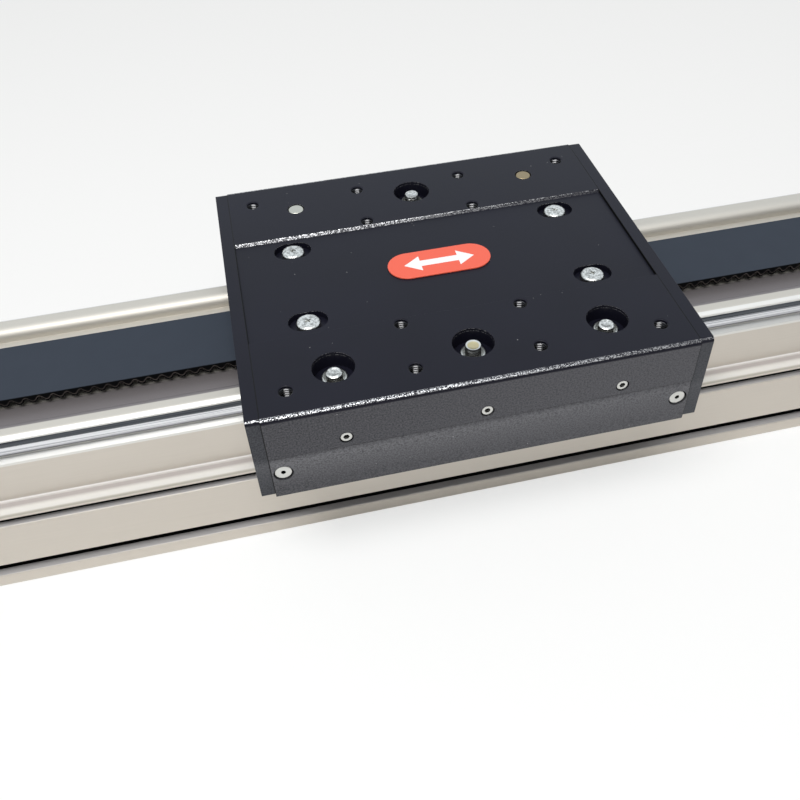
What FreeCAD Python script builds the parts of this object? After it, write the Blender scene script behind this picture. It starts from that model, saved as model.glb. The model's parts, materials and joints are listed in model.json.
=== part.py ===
import FreeCAD, Part
import math
import os

# A belt driven linear axis. An extruded aluminium rail carries a steel guide shaft along each top
# edge. A carriage runs on the two shafts with six grooved rollers. A toothed belt lies in the
# rail's top channel, runs round a pulley in the block at each end and comes back inside the rail.
# Millimetres. +X is the travel, +Z is up, and the origin is the middle of the rail's bottom face.

V = FreeCAD.Vector

# Rail length, and the gap left between carriage and bumper at the end of the travel
rail_length = 500.0
stop_gap = 0.5

# Rail section
rail_width = 80.0
ledge_width = 5.0
rail_height = 77.0
rail_edge_chamfer = 0.5
ledge_below_top = 31.6
ledge_height = 4.2
ledge_outer_round = 2.2
ledge_inner_round = 0.8
seat_bevel_below_top = 12.4
seat_bevel = 1.9
shoulder_inset = 0.3
shoulder_round_width = 3.0
shoulder_round_drop = 1.1
shoulder_bulge = 0.35
channel_wall = 0.6
channel_depth = 5.0
channel_edge_round = 4.0

# Side slots of the rail: mouth, lip and inner chamber
upper_slot_below_ledge = 5.2
upper_slot_mouth = 3.8
upper_slot_lip = 2.8
upper_slot_depth = 8.0
upper_slot_chamber = 8.0
lower_slot_bottom = 6.7
lower_slot_mouth = 6.3
lower_slot_lip = 3.6
lower_slot_depth = 10.5
lower_slot_chamber = 11.0
slot_mouth_chamfer = 0.4

# Hollows of the rail
hollow_round = 1.5
return_side = 3.5
return_under = 2.5
return_over = 2.5
base_hollow_inset = 16.0
base_hollow_bottom = 4.0
base_hollow_roof = 3.7
core_half = 17.0
core_floor = 4.5
core_roof = 4.5
side_hollow_inset = 3.5
side_hollow_width = 11.0
side_hollow_above_ledge = 0.6
side_hollow_below_shaft = 9.7

# Guide shafts
shaft_diameter = 10.0
shaft_inset = 4.0
shaft_below_top = 0.3
seat_clearance = 0.05

# Toothed belt
belt_pitch = 5.0
belt_width = 30.0
belt_thickness = 3.8
belt_tooth_height = 2.06
belt_tooth_half_width = 1.5
belt_pitch_depth = 0.5715
belt_rise = 0.8

# Pulleys
pulley_teeth = 30
pulley_setback = 30.0
pulley_side_room = 1.0
pulley_flange = 1.5
flange_overhang = 1.2
flange_seat_drop = 4.3
groove_side_clearance = 0.35
groove_depth_clearance = 0.15
belt_land_clearance = 0.1

# Pulley shaft, axle and bearings
axle_diameter = 12.0
bearing_outer_diameter = 28.0
bearing_width = 8.0
bearing_inner_ring = 3.4
bearing_gap = 0.08
sleeve_wall = 1.5
sleeve_bore_clearance = 0.5
shaft_stub = 25.0
shaft_chamfer = 0.8
clip_width = 1.0
clip_rise = 2.0
clip_groove = 0.4
clip_mouth = 3.0
seat_ring_mouth = 5.0
key_size = 4.0
key_length = 24.0
key_in_shaft = 2.5
slip_fit = 0.02

# End blocks
block_above_rail = 17.0
block_edge_round = 3.0
pocket_side_gap = 1.5
pocket_clearance = 4.2
block_beyond_pulley = 32.0
cover_thickness = 5.0
cover_screw_inset_y = 6.0
cover_screw_inset_z = 8.0
bearing_inset = 1.0

# Screws: shank diameter, head diameter and head height. The socket's width is a share of the shank.
rail_screw = (5.0, 8.5, 5.0)
cover_screw = (4.0, 7.0, 3.0)
cap_screw = (4.0, 6.1, 1.5)
clamp_screw = (4.0, 9.1, 2.9)
tension_screw = (5.0, 8.5, 5.0)
lock_screw_diameter = 4.0
socket_share = 0.8
screw_clearance = 0.25
head_clearance = 0.4
rail_screw_grip = 16.0
upper_rail_screw_inset = 7.0
upper_rail_screw_drop = 11.5
lower_rail_screw_inset = 10.0
cover_screw_length = 14.0
rail_hole_depth = 20.0

# Motor face on the drive block
motor_hole_spacing = 47.14
motor_hole_diameter = 4.2
motor_hole_depth = 6.8

# Belt tensioner in the idler block
tension_block_length = 20.0
tension_block_wall = 2.0
tension_slot_length = 28.0
tension_play = 0.1
tension_block_inset = 1.0
tension_screw_tip = 7.0
idler_bearing_centre = 9.0
idler_web_wall = 2.0

# Bumpers
bumper_diameter = 11.0
bumper_length = 12.0
bumper_above_rail = 9.0
bumper_stem_diameter = 4.0
bumper_stem = 7.0
bumper_round = 1.0

# Carriage
carriage_body_length = 155.0
cap_thickness = 5.0
plate_thickness = 18.9
plate_gap = 2.1
belt_pad_side_gap = 0.9
belt_pad_gap = 0.3
skirt_wall = 3.4
skirt_depth = 20.5
skirt_bulge = 0.5
crease_height = 0.25
plate_edge_round = 1.6
inner_corner_round = 1.5
recess_half = 29.5
recess_depth = 1.05

# Table holes in the carriage
table_hole_diameter = 5.0
table_hole_mouth = 6.2
table_mouth_depth = 0.3
outer_hole_end_inset = 10.0
outer_hole_side_inset = 12.5
inner_hole_x = 22.5
inner_hole_from_recess = 4.0

# Rollers and their studs
roller_diameter = 30.0
roller_width = 10.0
roller_end_inset = 27.5
roller_side_gap = 1.6
roller_lip_gap = 0.3
roller_groove_clearance = 0.1
roller_inner_ring = 2.5
roller_face_recess = 0.4
roller_face_rim = 3.0
roller_face_hub = 1.4
journal_diameter = 8.0
stud_diameter = 6.0
stud_head_diameter = 12.0
stud_head_height = 3.0
stud_chamfer = 0.6
stud_socket = 4.0
stud_socket_depth = 2.0
bush_diameter = 9.2
bush_proud = 2.0
counterbore_diameter = 15.2
counterbore_depth = 6.5
short_stud_below_top = 2.2
long_stud_below_top = 1.2
pin_diameter = 7.0
pin_below_top = 0.1
lock_screw_above_plate_bottom = 4.0
lock_screw_sink = 0.4
lock_mouth_diameter = 5.0
lock_mouth_depth = 0.5
lock_screw_socket = 2.0

# End caps
cap_side_inset = 0.6
cap_bottom_inset = 1.6
cap_opening_gap = 1.0
cap_lug_length = 7.0
cap_lug_width = 10.3
cap_lug_gap = 0.3
cap_lug_below_plate = 2.5
cap_lug_height = 11.4
cap_screw_inset = 4.2
cap_screw_below_plate = 8.2
cap_screw_seat_gap = 0.45
cap_screw_length = 11.5
cap_socket = 1.5

# Belt clamps
clamp_end_inset = 22.5
clamp_teeth = 7
clamp_channel_gap = 0.4
clamp_floor_gap = 0.3
clamp_side_gap = 0.6
clamp_slot_length = 14.8
clamp_slot_width = 10.2
clamp_head_proud = 0.2
clamp_travel = 2.0
clamp_screw_inset = 2.8
clamp_screw_tip_gap = 0.8
cross_slot_width = 0.9
cross_slot_length = 4.4
cross_slot_depth = 1.4

# Badge plate
badge_length = 41.0
badge_width = 16.0
badge_thickness = 0.6

# Values that follow from the sizes above
rail_end = rail_length / 2
rail_top_half = rail_width / 2 - ledge_width
shoulder_half = rail_top_half - shoulder_inset
ledge_top = rail_height - ledge_below_top
ledge_bottom = ledge_top - ledge_height
upper_slot_bottom = ledge_bottom - upper_slot_below_ledge
upper_chamber_bottom = upper_slot_bottom - (upper_slot_chamber - upper_slot_mouth) / 2
lower_chamber_top = lower_slot_bottom + (lower_slot_chamber + lower_slot_mouth) / 2
shaft_radius = shaft_diameter / 2
shaft_y = rail_top_half - shaft_inset
shaft_z = rail_height - shaft_radius - shaft_below_top
channel_half = shaft_y - shaft_radius - channel_wall
channel_floor = rail_height - channel_depth
side_hollow_outer = rail_top_half - side_hollow_inset
side_hollow_inner = side_hollow_outer - side_hollow_width
side_hollow_bottom = ledge_top + side_hollow_above_ledge
side_hollow_top = shaft_z - shaft_radius - side_hollow_below_shaft
base_hollow_half = rail_width / 2 - base_hollow_inset
return_half = belt_width / 2 + return_side
belt_back = rail_height + belt_rise
pitch_radius = pulley_teeth * belt_pitch / (2 * math.pi)
land_radius = pitch_radius - belt_pitch_depth
back_radius = land_radius + belt_thickness - belt_tooth_height
pulley_radius = land_radius - belt_land_clearance
flange_radius = back_radius + flange_overhang
flange_seat_radius = land_radius - flange_seat_drop
pulley_width = belt_width + pulley_side_room
pulley_z = belt_back - back_radius
run_teeth = round((rail_length + 2 * pulley_setback) / belt_pitch)
run_length = run_teeth * belt_pitch
pulley_x = run_length / 2
wrap_length = math.pi * pitch_radius
loop_teeth = 2 * run_teeth + pulley_teeth
belt_land = belt_back - belt_thickness + belt_tooth_height
return_back = pulley_z - back_radius
return_tips = pulley_z - land_radius + belt_tooth_height
return_floor = return_back - return_under
return_roof = return_tips + return_over
axle_radius = axle_diameter / 2
bearing_radius = bearing_outer_diameter / 2
inner_ring_radius = axle_radius + bearing_inner_ring
outer_ring_bore = inner_ring_radius + bearing_gap
sleeve_radius = axle_radius + sleeve_wall
block_end = pulley_x + block_beyond_pulley
block_half = rail_width / 2
block_height = rail_height + block_above_rail
pocket_half = pulley_width / 2 + pulley_flange + pocket_side_gap
seat_floor = block_half - bearing_inset - clip_width - bearing_width
tension_block_height = axle_diameter + 2 * tension_block_wall
tension_screw_y = (pocket_half + block_half) / 2
pocket_bottom = return_back - pocket_clearance
pocket_top = belt_back + pocket_clearance
carriage_length = carriage_body_length + 2 * cap_thickness
body_half = carriage_body_length / 2
carriage_half = carriage_length / 2
roller_radius = roller_diameter / 2
roller_x = body_half - roller_end_inset
roller_y = shoulder_half + roller_lip_gap + roller_radius
side_y = roller_y + roller_radius + roller_side_gap + skirt_wall
half_stroke = rail_end - bumper_length - stop_gap - carriage_half
bumper_y = shaft_y
bumper_z = rail_height + bumper_above_rail
plate_bottom = rail_height + plate_gap
plate_top = plate_bottom + plate_thickness
belt_pad_half = channel_half - belt_pad_side_gap
pad_bottom = belt_back + belt_pad_gap
skirt_bottom = plate_bottom - skirt_depth
crease_z = plate_bottom - crease_height
recess_floor = plate_top - recess_depth
outer_hole_x = body_half - outer_hole_end_inset
outer_hole_y = side_y - outer_hole_side_inset
inner_hole_y = recess_half + inner_hole_from_recess
groove_centre = roller_y - shaft_y
groove_radius = shaft_radius + roller_groove_clearance
journal_radius = journal_diameter / 2
roller_ring_radius = journal_radius + roller_inner_ring
roller_bore = roller_ring_radius + bearing_gap
roller_bottom = shaft_z - roller_width / 2
roller_top = shaft_z + roller_width / 2
counterbore_floor = plate_top - counterbore_depth
lock_screw_z = plate_bottom + lock_screw_above_plate_bottom
cap_screw_z = plate_bottom - cap_screw_below_plate
cap_screw_face = side_y - skirt_bulge
cap_lug_top = plate_bottom - cap_lug_below_plate
cap_lug_bottom = cap_lug_top - cap_lug_height
clamp_x = body_half - clamp_end_inset
clamp_half_width = channel_half - clamp_channel_gap
clamp_screw_y = clamp_half_width - clamp_screw_inset
clamp_head_top = recess_floor + clamp_head_proud
clamp_head_seat = clamp_head_top - clamp_screw[2]
clamp_top = pad_bottom
clamp_bottom = channel_floor + clamp_floor_gap
clamp_length = clamp_teeth * belt_pitch
cover_screw_y = block_half - cover_screw_inset_y
cover_screw_z = (cover_screw_inset_z, block_height - cover_screw_inset_z)
upper_rail_screw = (shaft_y - upper_rail_screw_inset, rail_height - upper_rail_screw_drop)
lower_rail_screw = (block_half - lower_rail_screw_inset, (lower_chamber_top + upper_chamber_bottom) / 2)
rail_screw_places = [
    (side * y, z) for side in (-1, 1) for y, z in (upper_rail_screw, lower_rail_screw)
]
cover_screw_places = [(side * cover_screw_y, z) for side in (-1, 1) for z in cover_screw_z]
bushed_places = [(-roller_x, -roller_y), (0, -roller_y), (roller_x, -roller_y), (0, roller_y)]
pinned_places = [(-roller_x, roller_y), (roller_x, roller_y)]
roller_places = {
    "front_left_roller": (-roller_x, -roller_y),
    "front_middle_roller": (0, -roller_y),
    "front_right_roller": (roller_x, -roller_y),
    "rear_left_roller": (-roller_x, roller_y),
    "rear_middle_roller": (0, roller_y),
    "rear_right_roller": (roller_x, roller_y),
}
table_places = (
    [(a * outer_hole_x, b * outer_hole_y) for a in (-1, 1) for b in (-1, 1)]
    + [(a * inner_hole_x, b * outer_hole_y) for a in (-1, 1) for b in (-1, 1)]
    + [(a * inner_hole_x, b * inner_hole_y) for a in (-1, 1) for b in (-1, 1)]
)
DIRECTION = {"X": V(1, 0, 0), "Y": V(0, 1, 0), "Z": V(0, 0, 1)}


def box(x0, x1, y0, y1, z0, z1):
    return Part.makeBox(x1 - x0, y1 - y0, z1 - z0, V(x0, y0, z0))


def rod(axis, start, end, u, v, radius):
    # A round bar along one axis, from start to end, centred at u, v on the other two axes.
    place = {"X": V(start, u, v), "Y": V(u, start, v), "Z": V(u, v, start)}[axis]
    return Part.makeCylinder(radius, end - start, place, DIRECTION[axis])


def ring(axis, start, end, u, v, outer, inner):
    return rod(axis, start, end, u, v, outer).cut(rod(axis, start, end, u, v, inner))


def point(plane, u, v, level):
    return {"YZ": V(level, u, v), "XZ": V(u, level, v), "XY": V(u, v, level)}[plane]


def prism(plane, start, end, path):
    # A straight prism. Each step of the path is its end point, or an arc's middle and end points.
    here = point(plane, *path[0], start)
    edges = []
    for step in path[1:] + [path[0]]:
        if isinstance(step[0], tuple):
            middle = point(plane, *step[0], start)
            there = point(plane, *step[1], start)
            edges.append(Part.Arc(here, middle, there).toShape())
        else:
            there = point(plane, *step, start)
            if here.distanceToPoint(there) < 1e-7:
                continue
            edges.append(Part.LineSegment(here, there).toShape())
        here = there
    normal = point(plane, 0, 0, 1)
    return Part.Face(Part.Wire(edges)).extrude(normal * (end - start))


def rounded_bar(plane, start, end, u0, u1, v0, v1, radius):
    # A bar with a rectangular section whose four corners are round.
    k = radius * (1 - math.sqrt(0.5))
    return prism(plane, start, end, [
        (u0 + radius, v0),
        (u1 - radius, v0),
        ((u1 - k, v0 + k), (u1, v0 + radius)),
        (u1, v1 - radius),
        ((u1 - k, v1 - k), (u1 - radius, v1)),
        (u0 + radius, v1),
        ((u0 + k, v1 - k), (u0, v1 - radius)),
        (u0, v0 + radius),
        ((u0 + k, v0 + k), (u0 + radius, v0)),
    ])


def long_hole(start, end, x, y, length, width):
    # A slot with round ends, long in X, cut along Z.
    reach = (length - width) / 2
    r = width / 2
    return prism("XY", start, end, [
        (x - reach, y - r),
        (x + reach, y - r),
        ((x + reach + r, y), (x + reach, y + r)),
        (x - reach, y + r),
        ((x - reach - r, y), (x - reach, y - r)),
    ])


def cone_mouth(z, x, y, diameter, mouth_diameter, depth):
    # The countersunk top of a hole along Z.
    place = V(x, y, z - depth)
    return Part.makeCone(diameter / 2, mouth_diameter / 2, depth, place, V(0, 0, 1))


def hexagon(axis, start, end, u, v, across):
    # A six-sided socket, given by its width across flats.
    plane = {"X": "YZ", "Y": "XZ", "Z": "XY"}[axis]
    r = across / math.sqrt(3)
    turns = [math.radians(60 * i) for i in range(6)]
    return prism(plane, start, end, [(u + r * math.cos(t), v + r * math.sin(t)) for t in turns])


def fused(shapes):
    return shapes[0].multiFuse(shapes[1:]) if len(shapes) > 1 else shapes[0]


def cut_all(shape, tools):
    return shape.cut(Part.makeCompound(tools))


def group(shapes):
    return Part.makeCompound(shapes)


def mirror_x(shape):
    return shape.mirror(V(0, 0, 0), V(1, 0, 0))


def mirror_y(shape):
    return shape.mirror(V(0, 0, 0), V(0, 1, 0))


def both_sides(shape):
    return group([shape, mirror_y(shape)])


def mirrored_path(right):
    # A closed path, symmetric in its first axis, from its right half. The half starts and ends
    # on the axis of symmetry.
    ends = [step[1] if isinstance(step[0], tuple) else step for step in right]
    path = list(right)
    for i in range(len(right) - 1, 0, -1):
        end = (-ends[i - 1][0], ends[i - 1][1])
        if isinstance(right[i][0], tuple):
            path.append(((-right[i][0][0], right[i][0][1]), end))
        else:
            path.append(end)
    return path[:-1]


def rail_outline():
    half = rail_width / 2
    c = rail_edge_chamfer
    r1 = ledge_outer_round
    r2 = ledge_inner_round
    r3 = channel_edge_round
    k1 = r1 * math.sqrt(0.5)
    k2 = r2 * math.sqrt(0.5)
    k3 = r3 * math.sqrt(0.5)
    bevel_y = rail_top_half - seat_bevel
    bevel_bottom = rail_height - seat_bevel_below_top
    shoulder_flat = shoulder_half - shoulder_round_width
    lip_top = rail_height - shoulder_round_drop
    slope = math.atan2(shoulder_round_width, shoulder_round_drop)
    mid = (
        shoulder_half - shoulder_round_width / 2 + shoulder_bulge * math.cos(slope),
        rail_height - shoulder_round_drop / 2 + shoulder_bulge * math.sin(slope),
    )
    return mirrored_path([
        (0, 0),
        (half - c, 0),
        (half, c),
        (half, ledge_bottom),
        ((half - r1 + k1, ledge_bottom + k1), (half - r1, ledge_bottom + r1)),
        (rail_top_half + r2, ledge_top - r2),
        ((rail_top_half + r2 - k2, ledge_top - k2), (rail_top_half, ledge_top)),
        (rail_top_half, bevel_bottom),
        (bevel_y, bevel_bottom + seat_bevel),
        (bevel_y, shaft_z),
        (shoulder_half, shaft_z),
        (shoulder_half, lip_top),
        (mid, (shoulder_flat, rail_height)),
        (channel_half + r3, rail_height),
        ((channel_half + r3 - k3, rail_height - r3 + k3), (channel_half, rail_height - r3)),
        (channel_half, channel_floor),
        (0, channel_floor),
    ])


def side_slot(bottom, mouth, lip, depth, chamber):
    # A T-shaped slot in the side of the rail, with a small chamfer at its mouth.
    half = rail_width / 2
    top = bottom + mouth
    spare = (chamber - mouth) / 2
    c = slot_mouth_chamfer
    return prism("YZ", -rail_end, rail_end, [
        (half + 1, bottom - c),
        (half, bottom - c),
        (half - c, bottom),
        (half - lip, bottom),
        (half - lip, bottom - spare),
        (half - depth, bottom - spare),
        (half - depth, top + spare),
        (half - lip, top + spare),
        (half - lip, top),
        (half - c, top),
        (half, top + c),
        (half + 1, top + c),
    ])


def rail_profile():
    body = prism("YZ", -rail_end, rail_end, rail_outline())
    slots = [
        side_slot(upper_slot_bottom, upper_slot_mouth, upper_slot_lip, upper_slot_depth,
                  upper_slot_chamber),
        side_slot(lower_slot_bottom, lower_slot_mouth, lower_slot_lip, lower_slot_depth,
                  lower_slot_chamber),
    ]
    seat = rod("X", -rail_end, rail_end, shaft_y, shaft_z, shaft_radius + seat_clearance)
    base_top = return_floor - base_hollow_roof
    core_bottom = return_roof + core_floor
    core_top = channel_floor - core_roof
    hollows = [
        rounded_bar("YZ", -rail_end, rail_end, -return_half, return_half, return_floor,
                    return_roof, hollow_round),
        rounded_bar("YZ", -rail_end, rail_end, -base_hollow_half, base_hollow_half,
                    base_hollow_bottom, base_top, hollow_round),
        rounded_bar("YZ", -rail_end, rail_end, -core_half, core_half, core_bottom, core_top,
                    hollow_round),
        rounded_bar("YZ", -rail_end, rail_end, side_hollow_inner, side_hollow_outer,
                    side_hollow_bottom, side_hollow_top, hollow_round),
        rounded_bar("YZ", -rail_end, rail_end, -side_hollow_outer, -side_hollow_inner,
                    side_hollow_bottom, side_hollow_top, hollow_round),
    ]
    holes = [
        rod("X", start, start + rail_hole_depth, y, z, rail_screw[0] / 2)
        for y, z in rail_screw_places
        for start in (-rail_end, rail_end - rail_hole_depth)
    ]
    sides = slots + [seat]
    return cut_all(body, sides + [mirror_y(s) for s in sides] + hollows + holes)


def guide_shaft(side):
    return rod("X", -rail_end, rail_end, side * shaft_y, shaft_z, shaft_radius)


def belt_point(s, height):
    # A point of the belt, s along its pitch line from the start of the top run. Height counts
    # from the land between the teeth towards the tips, and it is negative on the back.
    radius = land_radius - height
    s = s % (2 * run_length + 2 * wrap_length)
    if s <= run_length:
        return (-pulley_x + s, pulley_z + radius)
    s -= run_length
    if s <= wrap_length:
        turn = s / pitch_radius
        return (pulley_x + radius * math.sin(turn), pulley_z + radius * math.cos(turn))
    s -= wrap_length
    if s <= run_length:
        return (pulley_x - s, pulley_z - radius)
    turn = (s - run_length) / pitch_radius
    return (-pulley_x - radius * math.sin(turn), pulley_z - radius * math.cos(turn))


def drive_belt():
    back = -(belt_thickness - belt_tooth_height)
    w = belt_tooth_half_width
    inner = [belt_point(-w, 0)]
    for i in range(loop_teeth):
        s = i * belt_pitch
        inner.append((belt_point(s, belt_tooth_height), belt_point(s + w, 0)))
        inner.append((belt_point(s + belt_pitch / 2, 0), belt_point(s + belt_pitch - w, 0)))
    inner = straighten(inner)
    outer = [
        belt_point(0, back),
        belt_point(run_length, back),
        (belt_point(run_length + wrap_length / 2, back), belt_point(run_length + wrap_length, back)),
        belt_point(2 * run_length + wrap_length, back),
        (belt_point(2 * run_length + 1.5 * wrap_length, back), belt_point(0, back)),
    ]
    half = belt_width / 2
    return prism("XZ", -half, half, outer).cut(prism("XZ", -half, half, inner))


def straighten(path):
    # Turns each arc whose three points share one level into a straight line.
    result = [path[0]]
    before = path[0]
    for middle, end in path[1:]:
        flat = abs(before[1] - middle[1]) + abs(end[1] - middle[1]) < 1e-6
        result.append(end if flat else (middle, end))
        before = end
    return result


def tooth_wheel(x):
    # The toothed part of a pulley. Its grooves follow the belt's teeth with a clearance.
    half_angle = (belt_tooth_half_width + groove_side_clearance) / pitch_radius
    bottom = land_radius - belt_tooth_height - groove_depth_clearance
    step = 2 * math.pi / pulley_teeth

    def at(radius, turn):
        return (x + radius * math.sin(turn), pulley_z + radius * math.cos(turn))

    path = [at(pulley_radius, -half_angle)]
    for i in range(pulley_teeth):
        turn = i * step
        path.append((at(bottom, turn), at(pulley_radius, turn + half_angle)))
        path.append((at(pulley_radius, turn + step / 2), at(pulley_radius, turn + step - half_angle)))
    return prism("XZ", -pulley_width / 2, pulley_width / 2, path)


def pulley_body(x):
    end = pulley_width / 2 + pulley_flange
    return tooth_wheel(x).fuse(rod("Y", -end, end, x, pulley_z, flange_seat_radius))


def pulley_flanges(x):
    start = pulley_width / 2
    flange = ring("Y", start, start + pulley_flange, x, pulley_z, flange_radius,
                  flange_seat_radius + slip_fit)
    return both_sides(flange)


def drive_key():
    # A parallel key half in the shaft and half in the pulley.
    bottom = pulley_z + axle_radius - key_in_shaft
    half = key_size / 2
    return box(pulley_x - half, pulley_x + half, -key_length / 2, key_length / 2, bottom,
               bottom + key_size)


def key_slot():
    # The room that the key takes, with its fit.
    bottom = pulley_z + axle_radius - key_in_shaft
    half = key_size / 2 + slip_fit
    return box(pulley_x - half, pulley_x + half, -key_length / 2 - slip_fit,
               key_length / 2 + slip_fit, bottom - slip_fit, bottom + key_size + slip_fit)


def drive_pulley():
    bore = rod("Y", -block_half, block_half, pulley_x, pulley_z, axle_radius + slip_fit)
    slot = key_slot().fuse(key_slot().translated(V(0, pulley_width / 2, 0)))
    return cut_all(pulley_body(pulley_x), [bore, slot])


def clip_start():
    # The distance from the middle plane at which the clips of the drive bearings start.
    return seat_floor + bearing_width


def drive_shaft():
    front = -(clip_start() + clip_width + clip_groove)
    back = block_half + shaft_stub
    bar = rod("Y", front, back, pulley_x, pulley_z, axle_radius)
    ends = [e for e in bar.Edges if e.Closed]
    bar = bar.makeChamfer(shaft_chamfer, ends)
    start = clip_start()
    groove = ring("Y", start - slip_fit, start + clip_width + slip_fit, pulley_x, pulley_z,
                  axle_radius + 1, axle_radius - clip_groove)
    return cut_all(bar, [key_slot(), groove, mirror_y(groove)])


def drive_shaft_clips():
    start = clip_start()
    clip = ring("Y", start, start + clip_width, pulley_x, pulley_z, axle_radius + clip_rise,
                axle_radius - clip_groove + slip_fit)
    half = clip_mouth / 2
    gap = box(pulley_x - half, pulley_x + half, start, start + clip_width,
              pulley_z - axle_radius - clip_rise, pulley_z)
    return both_sides(clip.cut(gap))


def drive_seat_rings():
    start = clip_start()
    outer = bearing_radius + clip_groove
    clip = ring("Y", start, start + clip_width, pulley_x, pulley_z, outer - slip_fit,
                bearing_radius - clip_rise)
    half = seat_ring_mouth / 2
    gap = box(pulley_x - half, pulley_x + half, start, start + clip_width, pulley_z,
              pulley_z + outer)
    return both_sides(clip.cut(gap))


def drive_bearing_inner_rings():
    return both_sides(ring("Y", seat_floor, seat_floor + bearing_width, pulley_x, pulley_z,
                           inner_ring_radius, axle_radius + slip_fit))


def drive_bearing_outer_rings():
    return both_sides(ring("Y", seat_floor, seat_floor + bearing_width, pulley_x, pulley_z,
                           bearing_radius - slip_fit, outer_ring_bore))


def drive_spacers():
    start = pulley_width / 2 + pulley_flange
    return both_sides(ring("Y", start, seat_floor, pulley_x, pulley_z, sleeve_radius,
                           axle_radius + slip_fit))


def block_solid():
    # The plain end block on the +X side, with its pocket and the holes that both blocks share.
    body = rounded_bar("YZ", rail_end, block_end, -block_half, block_half, 0, block_height,
                       block_edge_round)
    pocket = rounded_bar("YZ", rail_end, block_end, -pocket_half, pocket_half, pocket_bottom,
                         pocket_top, hollow_round)
    shank = rail_screw[0] / 2 + screw_clearance
    head = rail_screw[1] / 2 + screw_clearance
    tools = [pocket]
    for y, z in rail_screw_places:
        tools.append(rod("X", rail_end, block_end, y, z, shank))
        tools.append(rod("X", block_end - rail_screw[2] - head_clearance, block_end, y, z, head))
    for y, z in cover_screw_places:
        tools.append(rod("X", block_end - cover_screw_length, block_end, y, z,
                         cover_screw[0] / 2 + slip_fit))
    for y in (-bumper_y, bumper_y):
        tools.append(rod("X", rail_end, rail_end + bumper_stem + head_clearance, y, bumper_z,
                         bumper_stem_diameter / 2 + slip_fit))
    return cut_all(body, tools)


def drive_housing():
    sleeve_room = sleeve_radius + sleeve_bore_clearance
    start = clip_start()
    tools = [rod("Y", -block_half, block_half, pulley_x, pulley_z, sleeve_room)]
    for side in (-1, 1):
        low, high = sorted((side * seat_floor, side * block_half))
        tools.append(rod("Y", low, high, pulley_x, pulley_z, bearing_radius))
        low, high = sorted((side * (start - slip_fit), side * (start + clip_width + slip_fit)))
        tools.append(rod("Y", low, high, pulley_x, pulley_z, bearing_radius + clip_groove))
    half = motor_hole_spacing / 2
    for a in (-1, 1):
        for b in (-1, 1):
            tools.append(rod("Y", block_half - motor_hole_depth, block_half, pulley_x + a * half,
                             pulley_z + b * half, motor_hole_diameter / 2))
    return cut_all(block_solid(), tools)


def idler_housing():
    half = tension_slot_length / 2
    rise = tension_block_height / 2 + tension_play
    slot = rounded_bar("XZ", pocket_half - 1, block_half, pulley_x - half, pulley_x + half,
                       pulley_z - rise, pulley_z + rise, hollow_round / 2)
    screw_room = rod("X", pulley_x, block_end, tension_screw_y, pulley_z,
                     tension_screw[0] / 2 + screw_clearance)
    tools = [slot, mirror_y(slot), screw_room, mirror_y(screw_room)]
    return mirror_x(cut_all(block_solid(), tools))


def end_cover(extra_holes):
    plate = rounded_bar("YZ", block_end, block_end + cover_thickness, -block_half, block_half, 0,
                        block_height, block_edge_round)
    outer = block_end + cover_thickness
    tools = list(extra_holes)
    for y, z in cover_screw_places:
        tools.append(rod("X", block_end, outer, y, z, cover_screw[0] / 2 + screw_clearance))
        tools.append(rod("X", outer - cover_screw[2] - head_clearance, outer, y, z,
                         cover_screw[1] / 2 + screw_clearance))
    return cut_all(plate, tools)


def drive_end_cover():
    return end_cover([])


def idler_end_cover():
    room = tension_screw[1] / 2 + screw_clearance
    holes = [
        rod("X", block_end, block_end + cover_thickness, y, pulley_z, room)
        for y in (-tension_screw_y, tension_screw_y)
    ]
    return mirror_x(end_cover(holes))


def socket_screw_x(seat, y, z, size, length):
    # A socket head screw along X. Its head stands on the seat towards +X, and its shank points
    # towards -X.
    shank, head, height = size
    body = rod("X", seat - length, seat, y, z, shank / 2)
    top = rod("X", seat, seat + height, y, z, head / 2)
    socket = hexagon("X", seat + height / 2, seat + height, y, z, shank * socket_share)
    return body.fuse(top).cut(socket)


def cover_screws():
    seat = block_end + cover_thickness - cover_screw[2] - head_clearance
    length = seat - block_end + cover_screw_length - head_clearance
    return group([socket_screw_x(seat, y, z, cover_screw, length) for y, z in cover_screw_places])


def block_screws():
    seat = block_end - rail_screw[2] - head_clearance
    length = seat - rail_end + rail_screw_grip
    size = (rail_screw[0] - 2 * slip_fit, rail_screw[1], rail_screw[2])
    return group([socket_screw_x(seat, y, z, size, length) for y, z in rail_screw_places])


def tension_blocks():
    half = tension_block_length / 2
    rise = tension_block_height / 2
    body = box(pulley_x - half, pulley_x + half, pocket_half + tension_block_inset,
               block_half - tension_block_inset, pulley_z - rise, pulley_z + rise)
    bore = rod("Y", 0, block_half, pulley_x, pulley_z, axle_radius + slip_fit)
    thread = rod("X", pulley_x + tension_screw_tip - slip_fit, pulley_x + half, tension_screw_y,
                 pulley_z, tension_screw[0] / 2)
    return mirror_x(both_sides(cut_all(body, [bore, thread])))


def tension_screws():
    size = (tension_screw[0] - 2 * slip_fit, tension_screw[1], tension_screw[2])
    length = block_end - pulley_x - tension_screw_tip
    screw = socket_screw_x(block_end, tension_screw_y, pulley_z, size, length)
    return mirror_x(both_sides(screw))


def idler_axle():
    end = block_half - 2 * tension_block_inset
    bar = rod("Y", -end, end, -pulley_x, pulley_z, axle_radius)
    return bar.makeChamfer(shaft_chamfer, [e for e in bar.Edges if e.Closed])


def idler_bearing_start():
    return idler_bearing_centre - bearing_width / 2


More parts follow.
